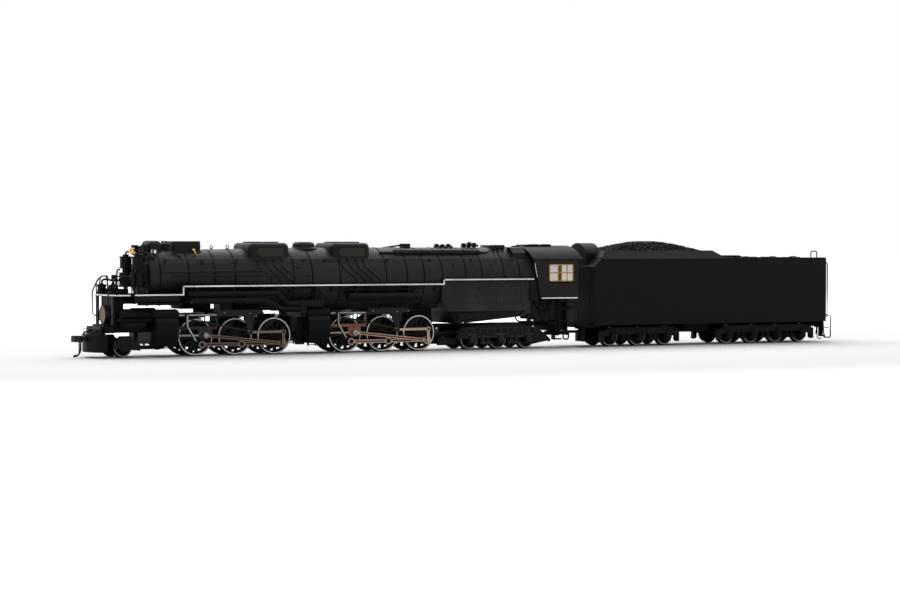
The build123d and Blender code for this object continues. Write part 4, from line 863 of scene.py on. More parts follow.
# Spring rigging: leaf springs over the drivers' axle boxes, hung from equalizer bars along both sides of
# each frame. The boiler's two waist bearers rest over the front engine. All black and dusty.
leaf_count = 6
leaf_pitch = 0.6
leaf_thickness = 0.5
leaf_top = 19.8
longest_leaf = 7.0
leaf_step = 0.95
buckle_heights = (15.6, 20.0)
hanger_offset = 6.6
hanger_lateral = 5.5
hanger_heights = (14.6, 20.0)
equalizer_height = 15.2
bearer_top = 27.5
for engine, body in (("front", "front_engine"), ("rear", "boiler")):
    rigging = bmesh.new()
    for side in (-1, 1):
        layer = flank(side, 4.6, 6.4)
        for axle in driver_axles[engine]:
            for leaf in range(leaf_count):
                reach = longest_leaf - leaf_step * leaf
                top = leaf_top - leaf_pitch * leaf
                box_into(rigging, (axle - reach, axle + reach), layer, (top - leaf_thickness, top), 0.08)
            box_into(rigging, (axle - 1.0, axle + 1.0), flank(side, 4.3, 6.7), buckle_heights, 0.2)
            for station in (axle - hanger_offset, axle + hanger_offset):
                hanger = [at(station, side * hanger_lateral, height) for height in hanger_heights]
                tube_into(rigging, hanger, 0.4)
        for axle in driver_axles[engine][:2]:
            bar_into(rigging, (axle + 5.6, equalizer_height), (axle + 15.1, equalizer_height), layer, 0.7)
    fit(f"{engine}_spring_rigging", rigging, frame_black, body)
bearers = bmesh.new()
for start, end, low in ((30.5, 46.5, 22.9), (59.0, 72.0, 22.0)):
    box_into(bearers, (start, end), (-6.5, 6.5), (low, bearer_top), 0.5)
    box_into(bearers, (start + 1.5, end - 1.5), (-8.0, 8.0), (low + 0.8, low + 2.2), 0.4)
fit("waist_bearers", bearers, frame_black, "boiler")


# Boiler: a tapering barrel in deep black, lagged with sheets that bands hold at their joints. Its lower
# half and the firebox sides are lighter brown-grey towards the bottom: some dust, and a painted reflection of
# the floor.
# The strong light brown low on the boiler is a painted reflection of the floor on top of its dust.
boiler_black = painted("boiler_black", (0.0065, 0.0065, 0.0070), 0.36, 0.16, strength=0.9, reach=0.058,
                       dust_and_reflection=(0.055, 0.044, 0.034))
dress(boiler_black, "boiler")
smokebox_radius = 12.9
smokebox_axis = 38.85
barrel_radius = 15.8
barrel_axis = 36.8
taper_start = 46.0
taper_end = 95.0


def barrel_at(station):
    """Radius and axis height of the barrel at a station."""
    share = min(max((station - taper_start) / (taper_end - taper_start), 0), 1)
    radius = smokebox_radius + (barrel_radius - smokebox_radius) * share
    return radius, smokebox_axis + (barrel_axis - smokebox_axis) * share


def barrel_side(station, height):
    """Half width of the barrel at a station and height."""
    radius, axis = barrel_at(station)
    return sqrt(max(radius**2 - (height - axis) ** 2, 0))


band_tree, entry, leave = make_tree(
    "boiler_bands",
    [("Width", "NodeSocketFloat"), ("Finish", "NodeSocketMaterial")],
)
hoop = band_tree.nodes.new("GeometryNodeMeshCylinder")
hoop.inputs["Vertices"].default_value = 72
hoop.inputs["Radius"].default_value = 1
hoop.inputs["Depth"].default_value = 1
girth = band_tree.nodes.new("GeometryNodeInputNamedAttribute")
girth.inputs["Name"].default_value = "girth"
size = band_tree.nodes.new("ShaderNodeCombineXYZ")
hoop_set = band_tree.nodes.new("GeometryNodeInstanceOnPoints")
hoop_set.inputs["Rotation"].default_value = (0, pi / 2, 0)
for source, target in (
    (girth.outputs["Attribute"], size.inputs["X"]),
    (girth.outputs["Attribute"], size.inputs["Y"]),
    (entry.outputs["Width"], size.inputs["Z"]),
    (hoop.outputs["Mesh"], hoop_set.inputs["Instance"]),
    (size.outputs["Vector"], hoop_set.inputs["Scale"]),
    (entry.outputs["Geometry"], hoop_set.inputs["Points"]),
):
    band_tree.links.new(source, target)
close_tree(band_tree, entry, leave, hoop_set.outputs["Instances"])
band_stations = (18.0, 32.5, 46.0, 56.6, 86.8, 96.7, 111.8, 137.3, 149.0, 158.6, 168.8, 182.4, 191.8, 204.6,
                 214.0)
band_proud = 0.12
band_points = point_mesh([at(station, 0, barrel_at(station)[1]) for station in band_stations])
band_girths = band_points.attributes.new("girth", "FLOAT", "POINT")
for index, station in enumerate(band_stations):
    band_girths.data[index].value = (barrel_at(station)[0] + band_proud) * mm
band_black = painted("band_black", (0.0022, 0.0022, 0.0023), 0.5, 0.03)
bands = grow(band_tree, band_points, {"Width": 0.5 * mm, "Finish": band_black})
place("boiler_bands", bands, "boiler")

wall_face = 16.8
panel_start, panel_end = 174.5, 211.0
panel_foot, panel_top = 28.1, 33.8
panel_strips = (
    ((panel_start, panel_end), (panel_top - 0.4, panel_top)),
    ((panel_start, panel_end), (panel_foot, panel_foot + 0.3)),
    ((panel_start, panel_start + 0.4), (panel_foot, panel_top)),
    ((panel_end - 0.4, panel_end), (panel_foot, panel_top)),
    ((173.5, 217.0), (23.9, 24.2)),
    ((213.6, 214.0), (24.0, 35.6)),
)
skirt = [(181.5, 14.0), (217.8, 17.2), (217.8, 21.0), (181.5, 15.6)]
firebox_studs = []
firebox_panels = bmesh.new()
for side in (-1, 1):
    for stations, heights in panel_strips:
        box_into(firebox_panels, stations, flank(side, 16.75, 16.98), heights, 0.05)
    for start, pitch, count, height in (
        (174.0, 1.9, 21, 25.2),
        (174.0, 1.9, 21, 26.2),
        (174.0, 1.9, 21, 27.2),
        (173.2, 2.2, 20, 22.6),
        (170.6, 3.4, 14, 34.9),
    ):
        firebox_studs += [(start + pitch * stud, side * wall_face, height) for stud in range(count)]
    for rib in range(4):
        low = (177.2 + 0.4 * rib, 14.6 + 1.25 * rib)
        high = (213.6 + 0.6 * rib, 18.1 + 0.55 * rib)
        bar_into(firebox_panels, low, high, (side * 15.3, side * 15.75), 0.18)
    plate_into(firebox_panels, skirt, flank(side, 14.9, 15.5))
    box_into(firebox_panels, (217.4, 221.4), flank(side, 12.6, 15.4), (18.2, 26.5), 0.5)
firebox_brown = painted("firebox_brown", (0.012, 0.010, 0.008), 0.36, 0.2, strength=0.3, reach=0.05)
fit("firebox_panels", firebox_panels, firebox_brown, "boiler")
# The staybolt heads are lighter brown than the firebox: painted highlights.
staybolt_highlight_brown = painted("staybolt_highlight_brown", (0.034, 0.028, 0.022), 0.36, 0.3)
studs("firebox_staybolts", firebox_studs, 0.27, staybolt_highlight_brown, "boiler")
plug_height = 43.8
plugs = []
for side in (-1, 1):
    plugs += [(station, side * wall_face, 31.2) for station in (178.0, 190.0, 204.0)]
    for station in (176.0, 187.0, 198.0, 208.0):
        plugs.append((station, side * barrel_side(station, plug_height), plug_height))
studs("washout_plugs", plugs, 0.6, boiler_black, "boiler")


# Boiler piping: rigid pipes clipped along the lagging, sand pipes from the boxes down to the rails, and
# hand holds, lifting eyes and rail stanchions. All painted with the boiler.
def along_barrel(side, places, stand_off):
    """Frame points that lie on the barrel's side at (station, height) places."""
    return [at(s, side * (barrel_side(s, z) + stand_off), z) for s, z in places]


upper_pipe = [(18.5, 41.0), (32.0, 41.1), (46.0, 41.2), (58.0, 41.3), (69.5, 41.3), (71.5, 41.6)]
lower_pipe = [(24.0, 39.2), (46.0, 39.1), (64.0, 39.0), (82.0, 38.9), (86.8, 36.0), (87.6, 34.6)]
front_sand_drop = [(0, 45.2), (-0.4, 43.6), (1.6, 41.6), (5.2, 39.4), (6.4, 36.8), (6.6, 34.6)]
rear_sand_drop = [(0, 45.0), (0.6, 43.0), (4.4, 39.6), (7.4, 37.2), (8.0, 34.6)]
sand_pitch = 4.2
sand_height = 47.3
sand_boss = [(-0.8, 0), (-0.8, 0.8), (0.5, 0.7), (0.7, 0)]
handrail_lateral = 13.4
handrail_height = 46.9
stanchion_stations = (21.0, 40.0, 58.0, 93.0, 104.5, 139.0, 163.0, 187.0, 211.0)
stanchion_eye = [(0, 0), (0, 0.42), (1, 0.42), (1, 0)]
eye_seat = [(0, 0), (0, 0.7), (0.5, 0.6), (0.7, 0)]
eye_radius = 0.75
piping = bmesh.new()
for side in (-1, 1):
    for route in (upper_pipe, lower_pipe):
        tube_into(piping, bend(along_barrel(side, route, 0.45), 1.0), 0.38)
    for station in (24.0, 39.0, 56.0, 68.0):
        clip = along_barrel(side, [(station, 38.4), (station, 40.2), (station, 42.0)], 0.35)
        tube_into(piping, clip, 0.3, 6)
    for start, drop in ((69.0, front_sand_drop), (113.2, rear_sand_drop)):
        for pipe in range(4):
            root = start + sand_pitch * pipe
            lathe_into(piping, at(root, side * 12.0, sand_height), (0, side, 0), sand_boss, 10)
            run = along_barrel(side, [(root + along, height) for along, height in drop], 0.4)
            tube_into(piping, bend([at(root, side * 12.5, sand_height)] + run, 1.2), 0.34)
    for station in stanchion_stations:
        foot = along_barrel(side, [(station, 44.9)], -0.2)[0]
        tube_into(piping, [at(station, side * handrail_lateral, handrail_height), foot], 0.26, 6)
        eye_start = at(station - 0.5, side * handrail_lateral, handrail_height)
        lathe_into(piping, eye_start, astern, stanchion_eye, 10)
    for station, height in ((89.6, 43.6), (94.3, 39.3)):
        hand_hold = [
            (station - 1.3, height + 0.1),
            (station - 1.0, height - 0.5),
            (station + 1.0, height - 0.5),
            (station + 1.3, height + 0.1),
        ]
        tube_into(piping, bend(along_barrel(side, hand_hold, 0.35), 0.5), 0.22, 6)
for station in (49.3, 57.8):
    radius, axis = barrel_at(station)
    crown = axis + radius
    lathe_into(piping, at(station, 0, crown - 0.2), up, eye_seat, 12)
    turns = [pi * step / 6 for step in range(13)]
    eye = [at(station + eye_radius * sin(turn), 0, crown + 1.0 - eye_radius * cos(turn)) for turn in turns]
    tube_into(piping, eye, 0.22, 6)
fit("boiler_piping", piping, boiler_black, "boiler")
dress(boiler_black, "boiler_handrails")


# Smokebox front: a dished door on a ring plate, held by dog clamps and strap hinges, with bolts around
# the ring, two finned air pumps, a brass bell and two bare boards above.
front_black = painted("front_black", (0.004, 0.004, 0.004), 0.34, 0.10, strength=0.1)
dress(front_black, "smokebox_front", "air_pumps")
bell_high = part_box("bell")[1]
bell_station = (lead_axle_x - bell_high.x) / mm + 2.1
bell_top = bell_high.z / mm - 0.45
bell_brass = painted("bell_brass", (0.42, 0.29, 0.11), 0.22, 0.5, metallic=0.95)
dress(front_black, "bell")
bowl = [(0, 0), (0, 0.4), (0.7, 1.58), (1.6, 1.52), (2.3, 1.62), (2.9, 2.05), (3.1, 2.16), (3.16, 2.1),
        (3.16, 0)]
bell_bowl = bmesh.new()
lathe_into(bell_bowl, at(bell_station, 0, bell_top), down, bowl, 28)
fit("bell_bowl", bell_bowl, bell_brass, "boiler")
plate_face = 12.6
ring_bolts = stud_ring(plate_face, 0, smokebox_axis, 12.2, 28)
studs("smokebox_ring_bolts", ring_bolts, 0.3, front_black, "boiler")
door_dog = [(-0.2, 0), (-0.2, 0.65), (0.5, 0.6), (0.5, 0.3), (0.9, 0.3), (0.9, 0)]
door_boss = [(0, 0), (0, 1.9), (0.5, 1.6), (0.8, 0.6), (1.1, 0)]
arch_radius = 11.0
pump_top_pipe = [(8.2, 8.4, 49.0), (8.2, 8.4, 50.6), (10.6, 9.4, 50.6), (16.0, 9.6, 47.2)]
pump_foot_pipe = [(8.2, 8.4, 34.0), (8.2, 8.4, 31.8), (8.2, 11.6, 30.6)]
pump_link_pipe = [(5.4, 9.0, 42.0), (4.6, 10.6, 42.0), (4.6, 11.6, 36.0), (5.6, 11.6, 30.8)]
filter_station = 3.6
filter_lateral = 12.6
filter_can = [(0, 0), (0, 1.3), (2.8, 1.3), (3.3, 0.8), (3.3, 0)]
door_gear = bmesh.new()
for dog in stud_ring(plate_face, 0, smokebox_axis, 9.7, 16):
    lathe_into(door_gear, at(*dog), ahead, door_dog, 8)
for height in (smokebox_axis - 3.4, smokebox_axis + 3.4):
    box_into(door_gear, (11.3, 12.5), (-9.6, -2.0), (height - 0.6, height + 0.6), 0.15)
lathe_into(door_gear, at(11.5, 0, smokebox_axis), ahead, door_boss, 20)
turns = [pi * step / 14 for step in range(3, 12)]
arch = [at(11.6, arch_radius * cos(turn), smokebox_axis + arch_radius * sin(turn)) for turn in turns]
tube_into(door_gear, arch, 0.25)
for side in (-1, 1):
    pipe_into(door_gear, side, pump_top_pipe, 1.2, 0.45)
    pipe_into(door_gear, side, pump_foot_pipe, 0.8, 0.5)
    pipe_into(door_gear, side, pump_link_pipe, 1.2, 0.4)
    lathe_into(door_gear, at(filter_station, side * filter_lateral, 36.2), up, filter_can, 14)
    filter_post = [at(filter_station, side * filter_lateral, height) for height in (30.2, 36.4)]
    tube_into(door_gear, filter_post, 0.3)
    box_into(door_gear, (10.8, 13.0), flank(side, 4.2, 8.2), (53.5, 53.9), 0.1)
    box_into(door_gear, (6.4, 10.4), flank(side, 10.6, 13.8), (30.35, 32.6), 0.3)
fit("smokebox_front_gear", door_gear, front_black, "boiler")


# Stack, domes and top fittings: castings and boxes seated on the crown of the barrel, black, with tread
# ribs on the sandbox lids and cast seams. The whistle is brass and the class lamps have white lenses.
casting_black = painted("casting_black", (0.005, 0.005, 0.005), 0.34, 0.13, strength=0.3, reach=0.062,
                        dust_and_reflection=(0.022, 0.019, 0.015))
dress(casting_black, "stack", "domes", "top_fittings")
tread_pitch = 1.7
crown_gear = bmesh.new()
sand_panels = bmesh.new()
for start in (65.0, 109.2):
    for lid in (start + 2.4, start + 11.4):
        for bar in range(4):
            tread = lid + 0.9 + tread_pitch * bar
            box_into(crown_gear, (tread, tread + 0.5), (-3.6, 3.6), (55.4, 55.6), 0.05)
        for side in (-1, 1):
            box_into(crown_gear, (lid + 2.6, lid + 5.4), flank(side, 4.5, 5.4), (54.9, 55.35), 0.1)
    panel = [
        (start + 3.5, 51.0),
        (start + 4.9, 52.5),
        (start + 17.6, 52.5),
        (start + 18.8, 51.4),
        (start + 18.8, 49.2),
        (start + 17.6, 48.1),
        (start + 5.6, 48.1),
        (start + 3.5, 49.8),
    ]
    for side in (-1, 1):
        plate_into(sand_panels, panel, flank(side, 11.5, 11.9))
lamp_station = 14.6
lamp_lateral = 10.2
lamp_height = 50.6
lamp_ring = [(-0.3, 1.25), (0.1, 1.25), (0.1, 0.95), (-0.3, 0.95)]
dry_pipe_lateral = 9.2
dry_pipe_height = 50.2
dry_pipe_band = [(0, 0), (0, 1.68), (0.6, 1.68), (0.6, 0)]
dry_pipe_cap = [(0, 0), (0, 1.3), (0.8, 1.0), (1.0, 0)]
turret_pipe = [(193.0, 9.2, 50.2), (198.0, 9.0, 50.0), (203.5, 5.0, 51.6)]
turret_valve = [(0, 0), (0, 0.8), (1.4, 0.8), (1.4, 0.3), (2.2, 0.3), (2.2, 0.7), (2.5, 0.7), (2.5, 0)]
governor_pipe = [(24.6, 3.0, 52.0), (24.6, 6.0, 52.4), (27.4, 8.0, 49.6), (30.0, 9.8, 47.8)]
for side in (-1, 1):
    lamp_front = at(lamp_station, side * lamp_lateral, lamp_height)
    lathe_into(crown_gear, lamp_front, ahead, lamp_ring, 20, closed=True)
    for station in (148.0, 160.0, 172.0, 184.0):
        band_seat = at(station, side * dry_pipe_lateral, dry_pipe_height)
        lathe_into(crown_gear, band_seat, astern, dry_pipe_band, 18)
    cap_seat = at(192.6, side * dry_pipe_lateral, dry_pipe_height)
    lathe_into(crown_gear, cap_seat, astern, dry_pipe_cap, 18)
    pipe_into(crown_gear, side, turret_pipe, 2.0, 0.6)
    for valve in range(3):
        station = 203.6 + 2.6 * valve
        tube_into(crown_gear, [at(station, side * 4.8, 52.4), at(station, side * 7.6, 52.0)], 0.5)
        lathe_into(crown_gear, at(station, side * 7.2, 51.4), up, turret_valve, 12)
    pipe_into(crown_gear, side, governor_pipe, 1.2, 0.3)
safety_valve = [(0, 0), (0, 1.5), (0.4, 1.5), (0.5, 0.6), (0.9, 0.6), (0.9, 0)]
for station, top in (
    (173.6, 54.5), (177.0, 54.3), (180.4, 54.5), (189.4, 54.8), (192.6, 55.4), (195.4, 55.0),
):
    lathe_into(crown_gear, at(station, 0, top - 0.9), up, safety_valve, 14)
    for side in (-1, 1):
        tube_into(crown_gear, [at(station, 0, top - 1.0), at(station + 0.5, side * 3.4, top - 1.6)], 0.55)
for station in (16.2, 18.3, 20.4):
    lathe_into(crown_gear, at(station, 0, 55.6), up, [(0, 0), (0, 0.9), (0.3, 0.8), (0.39, 0)], 10)
for height in (50.5, 53.2):
    box_into(crown_gear, (27.45, 41.95), (-5.75, 5.75), (height, height + 0.35), 0.1)
for station in (24.0, 25.6):
    lathe_into(crown_gear, at(station, 0, 54.6), up, [(0, 0), (0, 0.7), (1.2, 0.7), (1.35, 0)], 10)
fit("crown_gear", crown_gear, casting_black, "boiler")
panel_olive = painted("panel_olive", (0.020, 0.017, 0.013), 0.36, 0.2)
fit("sandbox_panels", sand_panels, panel_olive, "boiler")
front_lens = [(-0.2, 0), (-0.2, 0.95), (0.2, 0.8), (0.4, 0)]
side_lens = [(-0.2, 0), (-0.2, 0.85), (0.2, 0.7), (0.35, 0)]
class_lenses = bmesh.new()
for side in (-1, 1):
    lathe_into(class_lenses, at(lamp_station, side * lamp_lateral, lamp_height), ahead, front_lens, 18)
    side_seat = at(lamp_station + 1.3, side * (lamp_lateral + 1.0), lamp_height)
    lathe_into(class_lenses, side_seat, (0, side, 0), side_lens, 18)
lens_white = painted("lens_white", (0.75, 0.75, 0.72), 0.12, 0.5)
fit("class_lamp_lenses", class_lenses, lens_white, "boiler")
whistle_foot = at(37.6, 8.6, 49.8)
whistle_tip = at(35.8, 9.3, 52.6)
whistle_pipe = [(-1.4, 0), (-1.4, 0.3), (0, 0.3), (0.1, 0.6), (0.4, 0.6), (0.45, 0.4), (0.6, 0.4),
                (0.65, 0.6), (2.4, 0.6), (2.7, 0)]
whistle = bmesh.new()
lathe_into(whistle, whistle_foot, whistle_tip - whistle_foot, whistle_pipe, 16)
fit("whistle", whistle, bell_brass, "boiler")


# Running boards: steel plates on brackets, edged with a white line that follows every step. Steam pipes,
# cooling pipes and the air tank hang below on straps.
pipe_black = painted("pipe_black", (0.0035, 0.0035, 0.0035), 0.33, 0.10, strength=0.08)
dress(pipe_black, "running_boards", "side_pipes")
board_half = 18.5
first_step, second_step = 27.2, 168.0
low_board, middle_board, high_board = 30.4, 34.4, 36.6
board_levels = (
    ((3.0, first_step), low_board),
    ((first_step, second_step), middle_board),
    ((second_step, 221.0), high_board),
)
board_steps = ((first_step, low_board, middle_board), (second_step, middle_board, high_board))
bracket_stations = (44.0, 63.0, 84.0, 106.0, 126.0, 146.0, 164.0)
bracket_width = 0.7
pipe_lateral = 16.8
thin_pipes = (
    [(103.8, 16.9, 31.0), (112.6, 16.9, 31.7), (155.5, 16.9, 31.7), (158.0, 16.2, 31.7)],
    [(89.5, 17.0, 32.6), (97.0, 17.0, 32.6), (100.5, 17.0, 30.4), (106.0, 17.0, 26.2), (112.5, 17.0, 25.4),
     (154.5, 17.0, 25.4), (158.0, 17.0, 23.6), (170.4, 16.4, 23.3)],
    [(60.0, 17.4, 28.6), (74.0, 17.4, 28.6), (80.0, 17.4, 32.2), (89.0, 17.2, 32.4)],
    [(31.0, 16.8, 26.9), (29.0, 16.8, 26.9), (27.6, 15.0, 26.0), (26.0, 12.4, 25.0)],
)
pipe_straps = (
    (36.0, 30.4, 1.3), (58.0, 30.4, 1.3), (74.5, 30.4, 1.3), (36.0, 26.9, 1.3), (66.0, 26.9, 1.3),
    (88.2, 25.2, 1.75), (88.2, 22.5, 1.5), (93.8, 25.2, 1.9), (100.6, 25.2, 1.9),
)
board_line = bmesh.new()
board_brackets = bmesh.new()
for side in (-1, 1):
    edge = flank(side, board_half - line_sunk, board_half + line_proud)
    for stations, top in board_levels:
        box_into(board_line, stations, edge, (top - line_depth, top), line_ease)
    for station, low, high in board_steps:
        box_into(board_line, (station, station + 0.75), edge, (low - line_depth, high), line_ease)
    for station in bracket_stations:
        root = barrel_side(station, 30.5 if station > 60 else 32.5) - 0.6
        arm = [(root, 30.6), (18.0, 33.6), (18.0, 33.2), (root, 29.9)]
        near, far = [[at(s, side * y, z) for y, z in arm] for s in (station, station + bracket_width)]
        prism_into(board_brackets, near, far)
    tube_into(board_brackets, [at(station, side * pipe_lateral, 25.7) for station in (5.0, 27.0)], 0.6)
    for station in (9.0, 15.0, 21.0):
        box_into(board_brackets, (station, station + 1.2), flank(side, 16.0, 17.6), (24.9, 26.4), 0.2)
    for route in thin_pipes:
        pipe_into(board_brackets, side, route, 1.6, 0.36)
    for station, height, radius in pipe_straps:
        strap = [(0, 0), (0, radius), (0.7, radius), (0.7, 0)]
        lathe_into(board_brackets, at(station, side * pipe_lateral, height), astern, strap, 16)
fit("board_edge_line", board_line, line_white, "boiler")
fit("board_brackets", board_brackets, pipe_black, "boiler")


# Cab: riveted sheets with a satin grey-black arched roof and rain gutters. The side windows are golden
# brown sashes in pairs with panes painted near white for the bright backdrop seen through them, and a white
# line runs along the bottom of each side sheet.
cab_black = painted("cab_black", (0.0068, 0.0060, 0.0050), 0.38, 0.15, strength=0.05)
dress(cab_black, "cab")
roof_grey = painted("roof_grey", (0.0030, 0.0036, 0.0040), 0.34, 0.04)
dress(roof_grey, "cab_roof")
cab_inside = painted("cab_inside", (0.02, 0.028, 0.022), 0.5, 0.2)
dress(cab_inside, "cab_interior")
cab_half = 18.5
window_front, window_rear = 229.9, 244.4
window_sill, window_head = 34.9, 43.9
window_height = (window_sill, window_head)
window_length = (window_front, window_rear)
sash_bars = (
    (window_length, (window_sill, window_sill + 0.5)),
    (window_length, (window_head - 0.5, window_head)),
    ((window_front, window_front + 0.6), window_height),
    ((235.0, 235.7), window_height),
    ((237.0, 237.6), window_height),
    ((240.4, 240.9), window_height),
    ((window_rear - 0.5, window_rear), window_height),
    (window_length, (39.2, 39.7)),
)
rear_grab = [(247.8, 18.2, 27.4), (248.4, 18.2, 27.9), (248.4, 18.2, 44.0), (247.2, 18.2, 44.6)]
front_grip = [(221.6, 18.4, 44.4), (221.2, 18.78, 44.0), (222.5, 18.78, 37.6), (223.0, 18.4, 37.2)]
injector_pipes = (
    [(221.2, 15.5, 26.4), (221.2, 15.5, 17.4), (222.6, 15.5, 16.4), (226.0, 14.8, 16.2)],
    [(222.4, 16.4, 26.2), (223.6, 16.4, 22.4), (226.4, 16.4, 21.2), (246.4, 16.4, 21.2), (247.6, 16.4, 22.6)],
    [(222.8, 15.6, 24.6), (225.4, 15.6, 24.2), (246.8, 15.6, 24.2), (249.0, 15.6, 22.0), (249.0, 15.6, 13.4)],
    [(229.0, 15.8, 25.8), (229.0, 15.8, 14.6), (231.0, 15.8, 13.2), (245.6, 15.8, 13.2), (246.8, 15.8, 15.0)],
    [(239.4, 16.6, 9.4), (239.4, 16.6, 4.8), (242.6, 16.6, 4.8), (242.6, 16.6, 9.4)],
)
injector_valve = [(-0.9, 0), (-0.9, 1.2), (0.7, 1.2), (1.1, 0.7), (1.1, 0)]
cab_line = bmesh.new()
gutters = bmesh.new()
sashes = bmesh.new()
panes = bmesh.new()
cab_pipes = bmesh.new()
cab_rivets = []
for side in (-1, 1):
    skin = flank(side, cab_half - line_sunk, cab_half + line_proud)
    box_into(cab_line, (225.4, 247.0), skin, (26.02, 26.62), line_ease)
    pipe_into(cab_line, side, front_grip, 0.4, 0.13, 6)
    box_into(gutters, (220.3, 250.0), flank(side, 18.2, 18.78), (46.1, 46.6), 0.1)
    ledge = (window_front - 0.6, window_rear + 0.9)
    box_into(gutters, ledge, flank(side, 18.4, 18.9), (window_sill - 0.7, window_sill - 0.05), 0.15)
    pipe_into(gutters, side, rear_grab, 0.6, 0.28)
    for stations, heights in sash_bars:
        box_into(sashes, stations, flank(side, 18.0, 18.62), heights, 0.08)
    for stations in ((window_front + 0.3, 235.3), (237.2, window_rear - 0.2)):
        box_into(panes, stations, flank(side, 18.12, 18.3), (window_sill + 0.2, window_head - 0.2), 0.03)
    for height in (28.0, 46.0):
        cab_rivets += [(226.5 + 1.45 * rivet, side * cab_half, height) for rivet in range(14)]
    cab_rivets += [(246.6, side * cab_half, 28.0 + 1.5 * rivet) for rivet in range(12)]
    for rivet in range(14):
        share = rivet / 13
        cab_rivets.append((225.8 - 4.0 * share, side * cab_half, 27.5 + 18.0 * share))
    for run in injector_pipes:
        pipe_into(cab_pipes, side, run, 1.2, 0.42)
    for station, height in ((226.6, 21.2), (233.4, 24.2), (244.2, 21.2), (245.4, 13.2)):
        lathe_into(cab_pipes, at(station, side * 16.0, height), (0, side, 0), injector_valve, 12)
    box_into(cab_pipes, (231.4, 235.2), flank(side, 13.4, 15.6), (14.6, 23.6), 0.5)
    box_into(cab_pipes, (220.6, 225.2), flank(side, 11.4, 15.2), (15.4, 27.5), 0.5)
for station in (231.0, 238.0):
    box_into(gutters, (station - 0.3, station + 0.3), (-4.6, 4.6), (54.0, 54.3), 0.08)
fit("cab_pipes", cab_pipes, pipe_black, "boiler")
fit("cab_edge_line", cab_line, line_white, "boiler")
fit("cab_gutters", gutters, roof_grey, "boiler")
sash_gold = painted("sash_gold", (0.50, 0.25, 0.04), 0.4, 0.3)
fit("cab_sashes", sashes, sash_gold, "boiler")
# Opaque panes painted near white: the backdrop's light through the glass, painted on.
pane_painted_backdrop = painted("pane_painted_backdrop", (0.66, 0.67, 0.68), 0.12, 0.5)
fit("cab_panes", panes, pane_painted_backdrop, "boiler")
studs("cab_rivets", cab_rivets, 0.16, cab_black, "boiler")


# Tender: a smooth welded tank in deep satin black with a bunker on its front half, a coal load, hatches on
# the rear deck, and a lamp, step irons and a hose at the back. A stoker pipe runs along the drawbar.
tender_black = painted("tender_black", (0.0056, 0.0051, 0.0043), 0.42, 0.075, strength=0.1)
dress(tender_black, "tender_tank", "tender_handrails")
coal_black = painted("coal_black", (0.0014, 0.0014, 0.0016), 0.34, 0.04)
dress(coal_black, "coal_load")
tank_rear = 407.1
tank_half = 18.5
tank_deck = 46.5
sill_strip = ((258.0, 407.0), (18.45, 18.62), (11.7, 12.2))
deck_angle = ((341.5, 406.6), (17.9, 18.3), (tank_deck, 47.0))
lower_tread = ((407.4, 411.0), (15.6, 17.2), (2.4, 2.9))
upper_tread = ((406.6, 409.8), (16.2, 17.4), (8.0, 8.5))
vent_start = 343.0
vent_count = 7
vent_pitch = 7.4
vent_length = 3.6
front_iron = [(257.4, 16.2, 13.0), (255.4, 16.2, 13.4), (255.4, 16.2, 37.6), (257.4, 16.2, 38.2)]
stirrup = [(405.8, 17.0, 12.6), (407.0, 17.0, 2.8), (411.2, 17.0, 2.6), (411.2, 17.0, 14.4),
           (408.6, 17.0, 15.2), (406.8, 17.0, 15.2)]
hatch_cap = [(0, 0), (0, 2.2), (0.8, 2.2), (1.1, 1.6), (1.2, 0)]
rear_lamp_face = at(tank_rear + 1.3, 0, 43.6)
rear_lamp_ring = [(-0.4, 1.95), (0.4, 1.95), (0.4, 1.4), (-0.4, 1.4)]
rear_hose = [(408.0, 4.2, 10.4), (410.6, 4.2, 10.0), (411.6, 4.2, 7.0), (410.8, 4.2, 4.2)]
tank_gear = bmesh.new()
for side in (-1, 1):
    for (stations, laterals, heights), ease in (
        (sill_strip, 0.05), (deck_angle, 0.1), (lower_tread, 0.1), (upper_tread, 0.1),
    ):
        box_into(tank_gear, stations, flank(side, *laterals), heights, ease)
    for vent in range(vent_count):
        start = vent_start + vent_pitch * vent
        box_into(tank_gear, (start, start + vent_length), flank(side, 13.6, 16.8), (tank_deck, 47.3), 0.25)
    pipe_into(tank_gear, side, front_iron, 0.7, 0.28)
    pipe_into(tank_gear, side, stirrup, 0.8, 0.34)
for stations in ((350.6, 354.6), (355.4, 359.4)):
    box_into(tank_gear, stations, (-4.4, 4.4), (47.7, 48.2), 0.2)
for station in (366.0, 384.0, 398.0):
    lathe_into(tank_gear, at(station, 0, tank_deck), up, hatch_cap, 18)
lathe_into(tank_gear, rear_lamp_face, astern, rear_lamp_ring, 24, closed=True)
pipe_into(tank_gear, 1, rear_hose, 1.4, 0.45)
fit("tank_gear", tank_gear, tender_black, "tender")


def glazed(name, colour, roughness):
    """Glass with a faint ripple in its polish."""
    material = bpy.data.materials.new(name)
    material.use_nodes = True
    tree = material.node_tree
    shader = tree.nodes["Principled BSDF"]
    shader.inputs["Base Color"].default_value = (*colour, 1)
    shader.inputs["Transmission Weight"].default_value = 1
    shader.inputs["IOR"].default_value = 1.45
    place_on = tree.nodes.new("ShaderNodeTexCoord")
    ripple = tree.nodes.new("ShaderNodeTexNoise")
    ripple.inputs["Scale"].default_value = 300
    polish = tree.nodes.new("ShaderNodeMapRange")
    polish.inputs["To Min"].default_value = roughness
    polish.inputs["To Max"].default_value = roughness + 0.05
    tree.links.new(place_on.outputs["Object"], ripple.inputs["Vector"])
    tree.links.new(ripple.outputs["Fac"], polish.inputs["Value"])
    tree.links.new(polish.outputs["Result"], shader.inputs["Roughness"])
    return material


